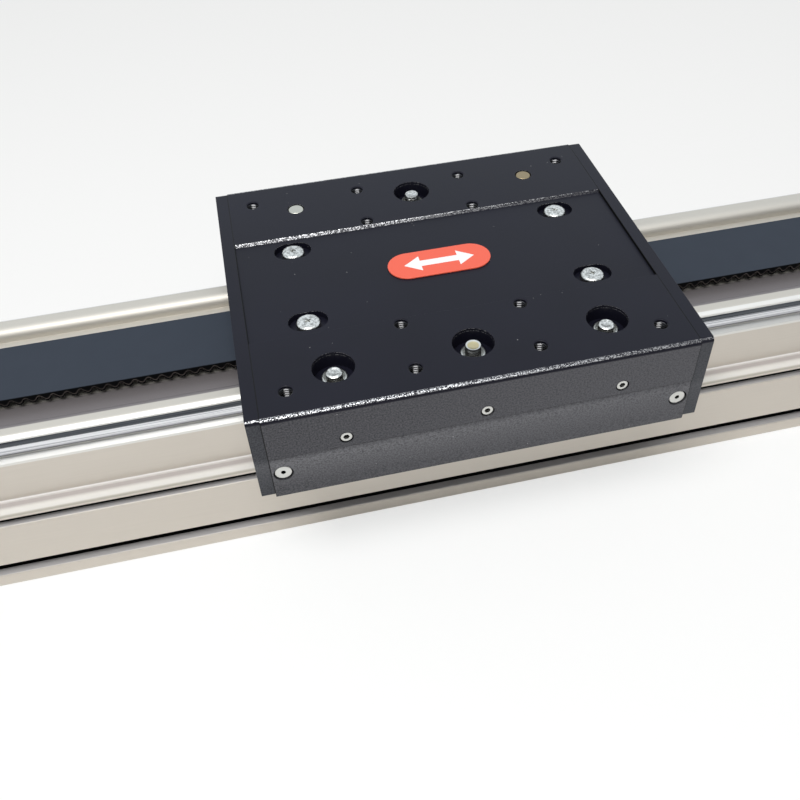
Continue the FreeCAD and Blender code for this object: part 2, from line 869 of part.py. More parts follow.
def idler_pulley():
    start = idler_bearing_start()
    bore = rod("Y", -block_half, block_half, -pulley_x, pulley_z, bearing_radius - idler_web_wall)
    seat = rod("Y", start, block_half, -pulley_x, pulley_z, bearing_radius)
    end = start + bearing_width
    groove = rod("Y", end - slip_fit, end + clip_width + slip_fit, -pulley_x, pulley_z,
                 bearing_radius + clip_groove)
    tools = [bore, seat, mirror_y(seat), groove, mirror_y(groove)]
    return cut_all(pulley_body(-pulley_x), tools)


def idler_bearing_outer_rings():
    start = idler_bearing_start()
    return both_sides(ring("Y", start, start + bearing_width, -pulley_x, pulley_z,
                           bearing_radius - slip_fit, outer_ring_bore))


def idler_bearing_inner_rings():
    start = idler_bearing_start()
    return both_sides(ring("Y", start, start + bearing_width, -pulley_x, pulley_z,
                           inner_ring_radius, axle_radius + slip_fit))


def idler_retaining_rings():
    start = idler_bearing_start() + bearing_width
    outer = bearing_radius + clip_groove
    clip = ring("Y", start, start + clip_width, -pulley_x, pulley_z, outer - slip_fit,
                bearing_radius - clip_rise)
    half = seat_ring_mouth / 2
    gap = box(-pulley_x - half, -pulley_x + half, start, start + clip_width, pulley_z,
              pulley_z + outer)
    return both_sides(clip.cut(gap))


def idler_spacers():
    start = idler_bearing_start()
    inner = ring("Y", -start, start, -pulley_x, pulley_z, sleeve_radius, axle_radius + slip_fit)
    outer = ring("Y", start + bearing_width, pocket_half + tension_block_inset, -pulley_x,
                 pulley_z, sleeve_radius, axle_radius + slip_fit)
    return group([inner, outer, mirror_y(outer)])


def end_bumpers():
    head = rod("X", rail_end - bumper_length, rail_end, bumper_y, bumper_z, bumper_diameter / 2)
    tip = [e for e in head.Edges if e.Closed and e.CenterOfMass.x < rail_end - bumper_length / 2]
    head = head.makeFillet(bumper_round, tip)
    stem = rod("X", rail_end, rail_end + bumper_stem, bumper_y, bumper_z,
               bumper_stem_diameter / 2)
    bumper = head.fuse(stem)
    pair = both_sides(bumper)
    return group([pair, mirror_x(pair)])


def plate_outline():
    # Half of the section. The outer face bulges a little below the crease.
    k = plate_edge_round * (1 - math.sqrt(0.5))
    r = inner_corner_round
    q = r * (1 - math.sqrt(0.5))
    inner = side_y - skirt_wall
    e = plate_edge_round
    return mirrored_path([
        (0, pad_bottom),
        (belt_pad_half, pad_bottom),
        (belt_pad_half, plate_bottom),
        (inner - r, plate_bottom),
        ((inner - q, plate_bottom - q), (inner, plate_bottom - r)),
        (inner, skirt_bottom),
        (side_y - skirt_bulge, skirt_bottom),
        ((side_y, (skirt_bottom + crease_z) / 2), (side_y - skirt_bulge, crease_z)),
        (side_y, plate_bottom),
        (side_y, plate_top - e),
        ((side_y - k, plate_top - k), (side_y - e, plate_top)),
        (recess_half + recess_depth, plate_top),
        (recess_half, recess_floor),
        (0, recess_floor),
    ])


def carriage_plate():
    body = prism("YZ", -body_half, body_half, plate_outline())
    low = pad_bottom - 1
    tools = []
    for x, y in table_places:
        tools.append(rod("Z", low, plate_top, x, y, table_hole_diameter / 2))
        tools.append(cone_mouth(plate_top, x, y, table_hole_diameter, table_hole_mouth,
                                table_mouth_depth))
    for x, y in bushed_places:
        tools.append(rod("Z", low, plate_top, x, y, bush_diameter / 2))
        tools.append(rod("Z", counterbore_floor, plate_top, x, y, counterbore_diameter / 2))
    for x, y in pinned_places:
        tools.append(rod("Z", low, plate_top, x, y, pin_diameter / 2))
    for x, y in roller_places.values():
        low_y, high_y = sorted((y, math.copysign(side_y, y)))
        tools.append(rod("Y", low_y, high_y, x, lock_screw_z, lock_screw_diameter / 2))
        low_y, high_y = sorted(math.copysign(d, y) for d in (side_y - lock_mouth_depth, side_y))
        tools.append(rod("Y", low_y, high_y, x, lock_screw_z, lock_mouth_diameter / 2))
    for a in (-1, 1):
        for b in (-1, 1):
            x, y = a * clamp_x, b * clamp_screw_y
            shank = clamp_screw[0] + 2 * screw_clearance
            tools.append(long_hole(clamp_head_seat, plate_top, x, y, clamp_slot_length,
                                   clamp_slot_width))
            tools.append(long_hole(low, clamp_head_seat, x, y, shank + 2 * clamp_travel, shank))
            tools.extend(cap_screw_room(a, b))
    return cut_all(body, tools)


def cap_screw_room(a, b):
    # The hole and the head's seat of one end cap screw in the carriage's side wall.
    x = a * (body_half - cap_screw_inset)
    outer = b * side_y
    seat = b * (cap_screw_face - cap_screw[2])
    low, high = sorted((seat, outer))
    inner_low, inner_high = sorted((b * (side_y - skirt_wall - 1), outer))
    return [
        rod("Y", low, high, x, cap_screw_z, cap_screw[1] / 2 + cap_screw_seat_gap),
        rod("Y", inner_low, inner_high, x, cap_screw_z, cap_screw[0] / 2 + screw_clearance),
    ]


def right_end_cap():
    outer = side_y - cap_side_inset
    bottom = skirt_bottom + cap_bottom_inset
    opening = shaft_y + shaft_radius + cap_opening_gap
    k = plate_edge_round * (1 - math.sqrt(0.5))
    e = plate_edge_round
    plate = prism("YZ", body_half, carriage_half, mirrored_path([
        (0, plate_bottom),
        (opening, plate_bottom),
        (opening, bottom),
        (outer, bottom),
        (outer, plate_top - e),
        ((outer - k, plate_top - k), (outer - e, plate_top)),
        (0, plate_top),
    ]))
    lug_outer = side_y - skirt_wall - cap_lug_gap
    lug_inner = lug_outer - cap_lug_width
    lug = box(body_half - cap_lug_length, body_half, lug_inner, lug_outer, cap_lug_bottom,
              cap_lug_top)
    thread = rod("Y", lug_inner, lug_outer, body_half - cap_screw_inset, cap_screw_z,
                 cap_screw[0] / 2)
    lug = lug.cut(thread)
    return plate.multiFuse([lug, mirror_y(lug)])


def left_end_cap():
    return mirror_x(right_end_cap())


def end_cap_screws():
    seat = cap_screw_face - cap_screw[2]
    screws = []
    for a in (-1, 1):
        x = a * (body_half - cap_screw_inset)
        head = rod("Y", seat, seat + cap_screw[2], x, cap_screw_z, cap_screw[1] / 2)
        shank = rod("Y", seat + cap_screw[2] - cap_screw_length, seat, x, cap_screw_z,
                    cap_screw[0] / 2 - slip_fit)
        socket = hexagon("Y", seat + cap_screw[2] / 3, seat + cap_screw[2], x, cap_screw_z,
                         cap_socket)
        screw = head.fuse(shank).cut(socket)
        screws += [screw, mirror_y(screw)]
    return group(screws)


def stud(x, y, radius, top):
    # A roller's stud: a head under the roller, a journal through it and a bar up to the top.
    head = rod("Z", roller_bottom - stud_head_height, roller_bottom, x, y, stud_head_diameter / 2)
    journal = rod("Z", roller_bottom, plate_bottom, x, y, journal_radius - slip_fit)
    bar = rod("Z", plate_bottom, top, x, y, radius)
    end = [e for e in bar.Edges if e.Closed and e.CenterOfMass.z > top - 0.1]
    bar = bar.makeChamfer(stud_chamfer, end)
    floor = roller_bottom - stud_head_height
    socket = hexagon("Z", floor, floor + stud_socket_depth, x, y, stud_socket)
    return fused([head, journal, bar]).cut(socket)


def roller_studs():
    studs = []
    for x, y in bushed_places:
        below = short_stud_below_top if x else long_stud_below_top
        studs.append(stud(x, y, stud_diameter / 2, plate_top - below))
    return group(studs)


def roller_pins():
    radius = pin_diameter / 2 - slip_fit
    return group([stud(x, y, radius, plate_top - pin_below_top) for x, y in pinned_places])


def eccentric_bushes():
    top = counterbore_floor + bush_proud
    outer = bush_diameter / 2 - slip_fit
    inner = stud_diameter / 2 + slip_fit
    return group([ring("Z", plate_bottom, top, x, y, outer, inner) for x, y in bushed_places])


def roller(x, y):
    # The grooved outer part of a roller. Its groove is part of a torus round the roller's axis.
    body = ring("Z", roller_bottom, roller_top, x, y, roller_radius, roller_bore)
    groove = Part.makeTorus(groove_centre, groove_radius, V(x, y, shaft_z), V(0, 0, 1))
    recess = ring("Z", roller_top - roller_face_recess, roller_top, x, y,
                  roller_radius - roller_face_rim, roller_bore + roller_face_hub)
    lower = recess.translated(V(0, 0, roller_face_recess - roller_width))
    return cut_all(body, [groove, recess, lower])


def roller_inner_rings():
    places = roller_places.values()
    return group([
        ring("Z", roller_bottom, roller_top, x, y, roller_ring_radius, journal_radius + slip_fit)
        for x, y in places
    ])


def roller_spacers():
    places = roller_places.values()
    return group([
        ring("Z", roller_top, plate_bottom, x, y, roller_ring_radius, journal_radius + slip_fit)
        for x, y in places
    ])


def roller_lock_screws():
    # Each set screw presses on the bush or the pin that it locks.
    screws = []
    stops = [(place, bush_diameter / 2) for place in bushed_places]
    stops += [(place, pin_diameter / 2) for place in pinned_places]
    for (x, y), radius in stops:
        tip = roller_y + radius
        outer = side_y - lock_screw_sink
        low, high = sorted(math.copysign(d, y) for d in (tip, outer))
        body = rod("Y", low, high, x, lock_screw_z, lock_screw_diameter / 2 - slip_fit)
        low, high = sorted(math.copysign(d, y) for d in (outer - lock_screw_socket, outer))
        screws.append(body.cut(hexagon("Y", low, high, x, lock_screw_z, lock_screw_socket)))
    return group(screws)


def right_belt_clamp():
    # A toothed jaw under the belt, with a wing beside each edge of the belt.
    half = clamp_length / 2
    x0, x1 = clamp_x - half, clamp_x + half
    body = box(x0, x1, -clamp_half_width, clamp_half_width, clamp_bottom, clamp_top)
    edge = belt_width / 2 + clamp_side_gap
    comb_top = belt_land - belt_land_clearance
    room = box(x0, x1, -edge, edge, comb_top, clamp_top)
    w = belt_tooth_half_width + groove_side_clearance
    depth = belt_land - belt_tooth_height - groove_depth_clearance
    first = math.ceil((x0 - w) / belt_pitch)
    last = math.floor((x1 + w) / belt_pitch)
    tools = [room]
    for i in range(first, last + 1):
        x = i * belt_pitch
        tools.append(prism("XZ", -edge, edge, [
            (x - w, comb_top),
            ((x, depth), (x + w, comb_top)),
        ]))
    for y in (-clamp_screw_y, clamp_screw_y):
        tools.append(rod("Z", clamp_bottom + clamp_screw_tip_gap - slip_fit, clamp_top, clamp_x,
                         y, clamp_screw[0] / 2))
    return cut_all(body, tools)


def left_belt_clamp():
    return mirror_x(right_belt_clamp())


def belt_clamp_screws():
    screws = []
    shank, head, height = clamp_screw
    half_wide = cross_slot_width / 2
    half_long = cross_slot_length / 2
    floor = clamp_head_top - cross_slot_depth
    for x in (-clamp_x, clamp_x):
        for y in (-clamp_screw_y, clamp_screw_y):
            body = rod("Z", clamp_bottom + clamp_screw_tip_gap, clamp_head_seat, x, y,
                       shank / 2 - slip_fit)
            pan = rod("Z", clamp_head_seat, clamp_head_top, x, y, head / 2)
            rim = [e for e in pan.Edges if e.Closed and e.CenterOfMass.z > clamp_head_seat + 1]
            pan = pan.makeFillet(height / 3, rim)
            cross = [
                box(x - half_long, x + half_long, y - half_wide, y + half_wide, floor,
                    clamp_head_top),
                box(x - half_wide, x + half_wide, y - half_long, y + half_long, floor,
                    clamp_head_top),
            ]
            screws.append(cut_all(body.fuse(pan), cross))
    return group(screws)


def badge_plate():
    return long_hole(recess_floor, recess_floor + badge_thickness, 0, 0, badge_length, badge_width)


def all_parts():
    parts = {
        "rail_profile": rail_profile(),
        "front_guide_shaft": guide_shaft(-1),
        "rear_guide_shaft": guide_shaft(1),
        "drive_belt": drive_belt(),
        "drive_housing": drive_housing(),
        "drive_bearing_outer_rings": drive_bearing_outer_rings(),
        "drive_seat_rings": drive_seat_rings(),
        "drive_end_cover": drive_end_cover(),
        "drive_cover_screws": cover_screws(),
        "drive_block_screws": block_screws(),
        "drive_pulley": drive_pulley(),
        "drive_pulley_flanges": pulley_flanges(pulley_x),
        "drive_shaft": drive_shaft(),
        "drive_key": drive_key(),
        "drive_bearing_inner_rings": drive_bearing_inner_rings(),
        "drive_spacers": drive_spacers(),
        "drive_shaft_clips": drive_shaft_clips(),
        "idler_housing": idler_housing(),
        "idler_axle": idler_axle(),
        "idler_bearing_inner_rings": idler_bearing_inner_rings(),
        "idler_spacers": idler_spacers(),
        "tension_blocks": tension_blocks(),
        "tension_screws": tension_screws(),
        "idler_end_cover": idler_end_cover(),
        "idler_cover_screws": mirror_x(cover_screws()),
        "idler_block_screws": mirror_x(block_screws()),
        "idler_pulley": idler_pulley(),
        "idler_pulley_flanges": pulley_flanges(-pulley_x),
        "idler_bearing_outer_rings": idler_bearing_outer_rings(),
        "idler_retaining_rings": idler_retaining_rings(),
        "end_bumpers": end_bumpers(),
        "carriage_plate": carriage_plate(),
        "left_end_cap": left_end_cap(),
        "right_end_cap": right_end_cap(),
        "end_cap_screws": end_cap_screws(),
        "roller_studs": roller_studs(),
        "roller_pins": roller_pins(),
        "eccentric_bushes": eccentric_bushes(),
        "roller_inner_rings": roller_inner_rings(),
        "roller_spacers": roller_spacers(),
        "roller_lock_screws": roller_lock_screws(),
        "left_belt_clamp": left_belt_clamp(),
        "right_belt_clamp": right_belt_clamp(),
        "belt_clamp_screws": belt_clamp_screws(),
        "badge_plate": badge_plate(),
    }
    for name, (x, y) in roller_places.items():
        parts[name] = roller(x, y)
    return parts


def main():
    os.makedirs("parts", exist_ok=True)
    for name, shape in all_parts().items():
        if not shape.isValid():
            raise ValueError(name + " is not a valid shape")
        shape.exportStep("parts/" + name + ".step")
        size = shape.BoundBox
        print(f"{name}: {len(shape.Solids)} solids, {shape.Volume:.0f} mm3, "
              f"z {size.ZMin:.1f} to {size.ZMax:.1f}")
    print(f"travel: {half_stroke:.1f} mm each way")


main()
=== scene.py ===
# %% [markdown]
# A belt driven linear axis is dressed here: an aluminium rail, two steel shafts, a toothed belt
# and a black carriage. The imported model gives every part its size and place, so this notebook
# only adds finishes, rounded edges and the small parts that a plain solid lacks. The first cell
# loads that model.

# %% Load the frame
import json
import math

import bmesh
import bpy
from mathutils import Matrix, Vector

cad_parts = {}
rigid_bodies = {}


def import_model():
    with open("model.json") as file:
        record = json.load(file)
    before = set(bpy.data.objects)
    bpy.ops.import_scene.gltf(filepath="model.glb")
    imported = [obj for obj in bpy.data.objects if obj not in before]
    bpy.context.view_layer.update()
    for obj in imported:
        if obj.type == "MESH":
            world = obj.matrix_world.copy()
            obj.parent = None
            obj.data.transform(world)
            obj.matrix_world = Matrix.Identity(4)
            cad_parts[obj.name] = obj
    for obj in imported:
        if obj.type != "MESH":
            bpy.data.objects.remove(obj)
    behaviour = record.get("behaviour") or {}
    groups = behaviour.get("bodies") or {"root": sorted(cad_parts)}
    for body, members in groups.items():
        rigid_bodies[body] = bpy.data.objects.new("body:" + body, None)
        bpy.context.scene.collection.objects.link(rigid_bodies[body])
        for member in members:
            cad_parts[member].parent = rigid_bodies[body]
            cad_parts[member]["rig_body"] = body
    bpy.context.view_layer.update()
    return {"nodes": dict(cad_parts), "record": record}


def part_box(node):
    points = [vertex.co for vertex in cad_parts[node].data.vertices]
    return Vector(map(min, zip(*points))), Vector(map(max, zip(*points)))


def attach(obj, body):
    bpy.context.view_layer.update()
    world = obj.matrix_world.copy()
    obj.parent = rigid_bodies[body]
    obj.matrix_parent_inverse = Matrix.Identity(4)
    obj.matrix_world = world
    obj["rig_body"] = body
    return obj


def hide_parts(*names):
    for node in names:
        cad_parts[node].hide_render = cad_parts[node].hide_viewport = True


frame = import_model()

MM = 0.001

# %% [markdown]
# The camera stands in front of the carriage, a little to its left, and looks down at it. Its
# place and direction are given as plain numbers, because they describe one view and follow from
# nothing on the object. A small roll tilts the picture, and a small shift moves its centre.

# %% Camera
CAMERA_PLACE = Vector((-65.35, -275.47, 309.18)) * MM
CAMERA_LOOK = Vector((0.138, 0.6854, -0.7149))
CAMERA_ROLL = math.radians(-2.24)
CAMERA_LENS = 40.136
CAMERA_SHIFT = -0.025
SENSOR_WIDTH = 36
NEAREST = 0.01


def add_camera():
    data = bpy.data.cameras.new("view_camera")
    data.sensor_width = SENSOR_WIDTH
    data.lens = CAMERA_LENS
    data.shift_x = CAMERA_SHIFT
    data.clip_start = NEAREST
    camera = bpy.data.objects.new("view_camera", data)
    bpy.context.scene.collection.objects.link(camera)
    level = CAMERA_LOOK.to_track_quat("-Z", "Y").to_matrix()
    roll = Matrix.Rotation(-CAMERA_ROLL, 3, CAMERA_LOOK)
    camera.matrix_world = Matrix.Translation(CAMERA_PLACE) @ (roll @ level).to_4x4()
    bpy.context.scene.camera = camera
    return camera


camera = add_camera()
print("camera at", [round(value, 3) for value in camera.matrix_world.translation])

# %% [markdown]
# Materials are made of nodes, and their maths is easier to read as Python. Wire wraps one
# output socket and overloads the operators, so that 1 - mask * 0.5 adds the Math nodes itself.
# Finish holds one material. Its node method makes any other node: the settings are set first,
# then the values or wires of its inputs. The two colours of a Mix node share their names with
# other inputs, so they and its colour output are found by number.

# %% Shader maths
MIX_FIRST = 6
MIX_SECOND = 7
MIX_COLOR = 2


class Wire:
    def __init__(self, finish, socket):
        self.finish = finish
        self.socket = socket

    def math(self, operation, *others, clamp=False):
        node = self.finish.tree.nodes.new("ShaderNodeMath")
        node.operation = operation
        node.use_clamp = clamp
        for place, value in enumerate((self,) + others):
            self.finish.feed(node.inputs[place], value)
        return Wire(self.finish, node.outputs[0])

    def __add__(self, other):
        return self.math("ADD", other)

    def __mul__(self, other):
        return self.math("MULTIPLY", other)

    def __sub__(self, other):
        return self.math("SUBTRACT", other)

    def __rsub__(self, other):
        return (self * -1) + other

    def __abs__(self):
        return self.math("ABSOLUTE")

    def ramp(self, low, high):
        # Goes from 0 at low to 1 at high.
        return ((self - low) * (1 / (high - low))).math("ADD", 0.0, clamp=True)

    def band(self, rise, fall):
        # Rises from 0 to 1 over the first two values and falls back to 0 over the last two.
        return self.ramp(*rise) * (1 - self.ramp(*fall))

    __radd__ = __add__


class Finish:
    def __init__(self, name, color, metallic=0.0, roughness=0.5, specular=0.5):
        self.material = bpy.data.materials.new(name)
        self.material.use_nodes = True
        self.tree = self.material.node_tree
        self.shader = self.tree.nodes["Principled BSDF"]
        self.set("Base Color", (*color, 1))
        self.set("Metallic", metallic)
        self.set("Roughness", roughness)
        self.set("Specular IOR Level", specular)

    def feed(self, socket, value):
        if isinstance(value, Wire):
            self.tree.links.new(value.socket, socket)
        else:
            socket.default_value = value

    def set(self, name, value):
        self.feed(self.shader.inputs[name], value)

    def node(self, kind, settings=None, inputs=None, output=0):
        node = self.tree.nodes.new("ShaderNode" + kind)
        for name, value in (settings or {}).items():
            setattr(node, name, value)
        for name, value in (inputs or {}).items():
            self.feed(node.inputs[name], value)
        return Wire(self, node.outputs[output])

    def place(self, stretch=(1, 1, 1)):
        # The point on the piece in millimetres, stretched along each axis.
        spot = self.node("TexCoord", output="Object")
        size = [factor / MM for factor in stretch]
        return self.node("Mapping", inputs={"Vector": spot, "Scale": size})

    def axes(self):
        split = self.tree.nodes.new("ShaderNodeSeparateXYZ")
        self.feed(split.inputs[0], self.place())
        return [Wire(self, socket) for socket in split.outputs]

    def noise(self, scale, detail=3, stretch=(1, 1, 1), roughness=0.5):
        inputs = {"Vector": self.place(stretch), "Scale": scale}
        inputs.update({"Detail": detail, "Roughness": roughness})
        return self.node("TexNoise", inputs=inputs, output="Fac")

    def mix(self, amount, first, second):
        node = self.tree.nodes.new("ShaderNodeMix")
        node.data_type = "RGBA"
        self.feed(node.inputs["Factor"], amount)
        for number, tone in ((MIX_FIRST, first), (MIX_SECOND, second)):
            self.feed(node.inputs[number], tone if isinstance(tone, Wire) else (*tone, 1))
        return Wire(self, node.outputs[MIX_COLOR])

    def bump(self, height, depth):
        inputs = {"Height": height, "Distance": depth * MM}
        self.set("Normal", self.node("Bump", inputs=inputs, output="Normal"))


print("shader helpers ready")

# %% [markdown]
# The carriage is black anodised aluminium. Its areas are told apart by where a point lies, in
# millimetres, so the places come first. The far corner of the plate is measured on the packed
# model. A pair of values is a ramp: a mask is 0 at the first and 1 at the second.

# %% Places on the carriage
plate_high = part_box("carriage_plate")[1] / MM
EDGE_ROUND = 1.6
EDGE_BLUR = 0.2
EDGE_WORN = (-0.75, -0.45)
FLANK_TOP = (-0.3, 0.1)
RECESS_EDGE = 29.5
RECESS_DEPTH = 1.05
WALL_START = (-0.1, 0)
WALL_END = (RECESS_DEPTH, 1.2)
WALL_FOOT = (0, 0.1)
CAP_START = (0, 0.1)
PLATE_END = (-0.6, -0.5)
RIM_START = (-0.25, -0.22)
RIM_END = (-0.06, -0.03)
CREASE_Z = 78.85
SHEEN_START = (-0.5, 3.0)
SHEEN_END = (3.0, 16.0)
SEAM = (0.1, 0.24)
ROLLER_X = 50.0
ROLLER_Y = 50.0
LOCK_Z = 83.1
LOCK_MOUTH = 2.5
CAP_SCREW_X = 73.3
CAP_SCREW_Z = 70.9
CAP_SEAT = 3.5
DISC_BLUR = 0.05
HOLE_STEP = 45.0
HOLE_ROWS = (57.5, 33.5)
HOLE_CLEAR = 3.5


def from_axis(across, along):
    return (across * across + along * along).math("SQRT")


def disc(x, z, middle_x, middle_z, radius):
    # 1 inside a circle, 0 outside it.
    distance = from_axis(x - middle_x, z - middle_z)
    return 1 - distance.ramp(radius - DISC_BLUR, radius + DISC_BLUR)


def lock_discs(x, z, radius):
    # The six lock screws stand in three pairs, one pair in the middle and one at each end.
    discs = disc(x, z, 0, LOCK_Z, radius) + disc(abs(x), z, ROLLER_X, LOCK_Z, radius)
    return discs.math("MINIMUM", 1.0)


def off_column(x, step):
    # Distance from the nearest of the columns that stand half a step beside the middle.
    return ((x * (1 / step)).math("FRACT") - 0.5) * step


print("carriage top at", round(plate_high.z, 2), "mm")

# %% [markdown]
# The top was milled, so it is smooth, dark and a little blue. The sides keep the bead blasted skin,
# which is greyer, with painted light that makes it lighter towards the right, and a painted sheen
# under the skirt's crease that is strongest on the left. The mouths of the screw seats get painted
# shade. Grains worn bright sparkle along the rounded edges, on the recess wall and on the rims of
# the wide bores and slots: there, small patches of a noise turn to bare metal. On the edges and the
# wall they fade towards the right, a painted falloff of the light. Dust is rare light specks from a
# Voronoi texture: only the cells whose random colour is high get one, and the size of each is
# random too.

# %% Black anodised finish
TOP_BLACK = (0.005, 0.005, 0.010)
TOP_CLOUD = tuple(1.3 * channel for channel in TOP_BLACK)
SIDE_DARK = (0.022, 0.022, 0.027)
SIDE_LIGHT = (0.085, 0.085, 0.094)
SHEEN_TONE = (0.19, 0.19, 0.20)
CAP_SIDE = (0.018, 0.022, 0.029)
CAP_SHARE = 0.45
SHADE_AND_SEAM_BLACK = (0.002, 0.002, 0.002)
BARE_GRAIN = (0.66, 0.66, 0.67)
BARE_PATCHES = (0.46, 0.62)
DUST = (0.5, 0.5, 0.5)
DUST_EDGE = 0.01
DUST_SPREAD = 0.3
LIGHT_FALLOFF_X = (-20, 75)
LIGHT_FALLOFF_SHARE = 0.6
WALL_WEAR = 0.62
RIM_WEAR = 0.45
BLASTED = (0.36, 0.64)
BLASTED_DEPTH = 0.05
PAINTED_LIGHT_X = (-70, 40)
PAINTED_LIGHT_SHARE = 0.25
SHEEN_GRAIN = (0.2, 0.8)
SHEEN_FADING = (-80, 80)
SHEEN_FADED = 0.5
CLOUDS = (0.3, 0.7)


def dust_specks(finish, spacing, share, radius):
    # Rare round specks: spacing between cells in mm, share of the cells used, radius in mm.
    settings = {"feature": "F1"}
    inputs = {"Vector": finish.place(), "Scale": 1 / spacing, "Randomness": 1.0}
    near = finish.node("TexVoronoi", settings, inputs, output="Distance")
    cell = finish.node("TexVoronoi", settings, inputs, output="Color")
    pick = finish.node("SeparateColor", inputs={"Color": cell}, output="Red")
    size = finish.node("SeparateColor", inputs={"Color": cell}, output="Green")
    inside = 1 - (near * spacing).ramp(radius / 2, radius) - (1 - size) * DUST_SPREAD
    return inside.math("MULTIPLY", pick.ramp(1 - share, 1 - share + DUST_EDGE), clamp=True)


def wear_and_light_falloff(x, y, z, side):
    # Where the black is worn off: the rounded edge, the rear wall of the recess and the rims.
    # On the edge and the wall the wear fades to the right, a painted falloff of the light.
    down = z - plate_high.z
    floor = down + RECESS_DEPTH
    on_plate = 1 - (abs(x) - plate_high.x).ramp(*PLATE_END)
    edge = side * down.ramp(*EDGE_WORN)
    inward = y - RECESS_EDGE
    wall = inward.ramp(*WALL_START) - inward.ramp(*WALL_END)
    wall = wall * floor.ramp(*WALL_FOOT) * on_plate
    rims = down.band(RIM_START, RIM_END) + floor.band(RIM_START, RIM_END)
    for row in HOLE_ROWS:
        rims = rims * (1 - disc(off_column(x, HOLE_STEP), abs(y), 0, row, HOLE_CLEAR))
    # Painted falloff of the light: the glinting wear fades towards the right.
    light_falloff = 1 - x.ramp(*LIGHT_FALLOFF_X) * LIGHT_FALLOFF_SHARE
    return (edge + wall * light_falloff * WALL_WEAR) * light_falloff + rims * on_plate * (1 - side) * RIM_WEAR


def side_skin(finish, x, z, side, flank, grain):
    # The blasted skin of the sides, with painted light that makes it lighter to the right, and a
    # painted sheen under the skirt's crease.
    # Painted light: the skin grows lighter towards the right.
    lighter = grain.ramp(*BLASTED) + x.ramp(*PAINTED_LIGHT_X) * PAINTED_LIGHT_SHARE
    # Painted sheen: a lighter band under the crease, fading towards the right.
    painted_sheen = (CREASE_Z - z).band(SHEEN_START, SHEEN_END) * side
    painted_sheen = painted_sheen * grain.ramp(*SHEEN_GRAIN) * (1 - x.ramp(*SHEEN_FADING) * SHEEN_FADED)
    cap = (abs(x) - plate_high.x).ramp(*CAP_START) * flank
    skin = finish.mix(painted_sheen, finish.mix(lighter, SIDE_DARK, SIDE_LIGHT), SHEEN_TONE)
    return finish.mix(cap * CAP_SHARE, skin, CAP_SIDE)


def black_anodised():
    finish = Finish("black_anodised", TOP_BLACK, roughness=0.42, specular=0.18)
    x, y, z = finish.axes()
    side = (abs(y) - plate_high.y + EDGE_ROUND).ramp(-EDGE_BLUR, EDGE_BLUR)
    flank = side * (1 - (z - plate_high.z + EDGE_ROUND).ramp(*FLANK_TOP))
    # Painted shade: the mouths of the screw seats on the sides are near black; the seam is a dark
    # joint.
    seats = lock_discs(x, z, LOCK_MOUTH) + disc(abs(x), z, CAP_SCREW_X, CAP_SCREW_Z, CAP_SEAT)
    seam = 1 - abs(abs(x) - plate_high.x).ramp(*SEAM)
    shade_and_seam = (seats * side + seam).math("MINIMUM", 1.0)
    grain = finish.noise(scale=1.5, detail=3, roughness=0.8)
    cloud = finish.noise(scale=0.03, detail=4)
    specks = dust_specks(finish, spacing=4.0, share=0.2, radius=0.2)
    milled = finish.mix(cloud.ramp(*CLOUDS), TOP_BLACK, TOP_CLOUD)
    skin = finish.mix(flank, milled, side_skin(finish, x, z, side, flank, grain))
    skin = finish.mix(specks, finish.mix(shade_and_seam, skin, SHADE_AND_SEAM_BLACK), DUST)
    patches = finish.noise(scale=2.6, detail=1).ramp(*BARE_PATCHES)
    bare = wear_and_light_falloff(x, y, z, side).math("MINIMUM", 1.0) * patches
    finish.set("Base Color", finish.mix(bare, skin, BARE_GRAIN))
    finish.set("Metallic", bare)
    finish.set("Roughness", 0.38 + cloud * 0.08 + specks * 0.4)
    finish.bump(grain * (0.2 + flank * 0.8), BLASTED_DEPTH)
    return finish


finishes = {"black_anodised": black_anodised()}
print("made:", list(finishes))

# %% [markdown]
# The rail is extruded, so its skin carries fine lines along its length under the satin anodised
# layer. A noise that is stretched along X gives them: it changes slowly along the rail and fast
# across it. The same finish serves the smaller aluminium parts.

# %% Satin aluminium
ALONG_RAIL = (0.02, 1, 1)
SATIN_METALLIC = 0.7
SATIN_ROUGHNESS = 0.42
SATIN_DEPTH = 0.01
DARK_LINES = 0.93


def satin_aluminium(name, tone):
    finish = Finish(name, tone, metallic=SATIN_METALLIC, roughness=SATIN_ROUGHNESS)
    lines = finish.noise(scale=1.6, detail=4, stretch=ALONG_RAIL)
    cloud = finish.noise(scale=0.02, detail=3)
    dark = tuple(channel * DARK_LINES for channel in tone)
    finish.skin = finish.mix(lines, dark, tone)
    finish.set("Base Color", finish.skin)
    finish.set("Roughness", SATIN_ROUGHNESS - 0.04 + lines * 0.08 + cloud * 0.06)
    finish.bump(lines + finish.noise(scale=6, detail=1) * 0.3, SATIN_DEPTH)
    return finish


finishes["plain_aluminium"] = satin_aluminium("plain_aluminium", (0.72, 0.72, 0.72))
print("made:", list(finishes))

# %% [markdown]
# The rail's faces mirror different parts of the room, so each gets a painted reflection as a tone
# of its own, and the channel floor in front of the belt gets painted shade. The rail's ledge above
# the slots is rounded and shows four painted bands of highlight and reflection, one above the
# other.
# The side slots get painted shade: their chambers are dark, and their lips a lighter painted grey.
# Depth is measured from the rail's side, height from its base. A pair of values is a ramp again.

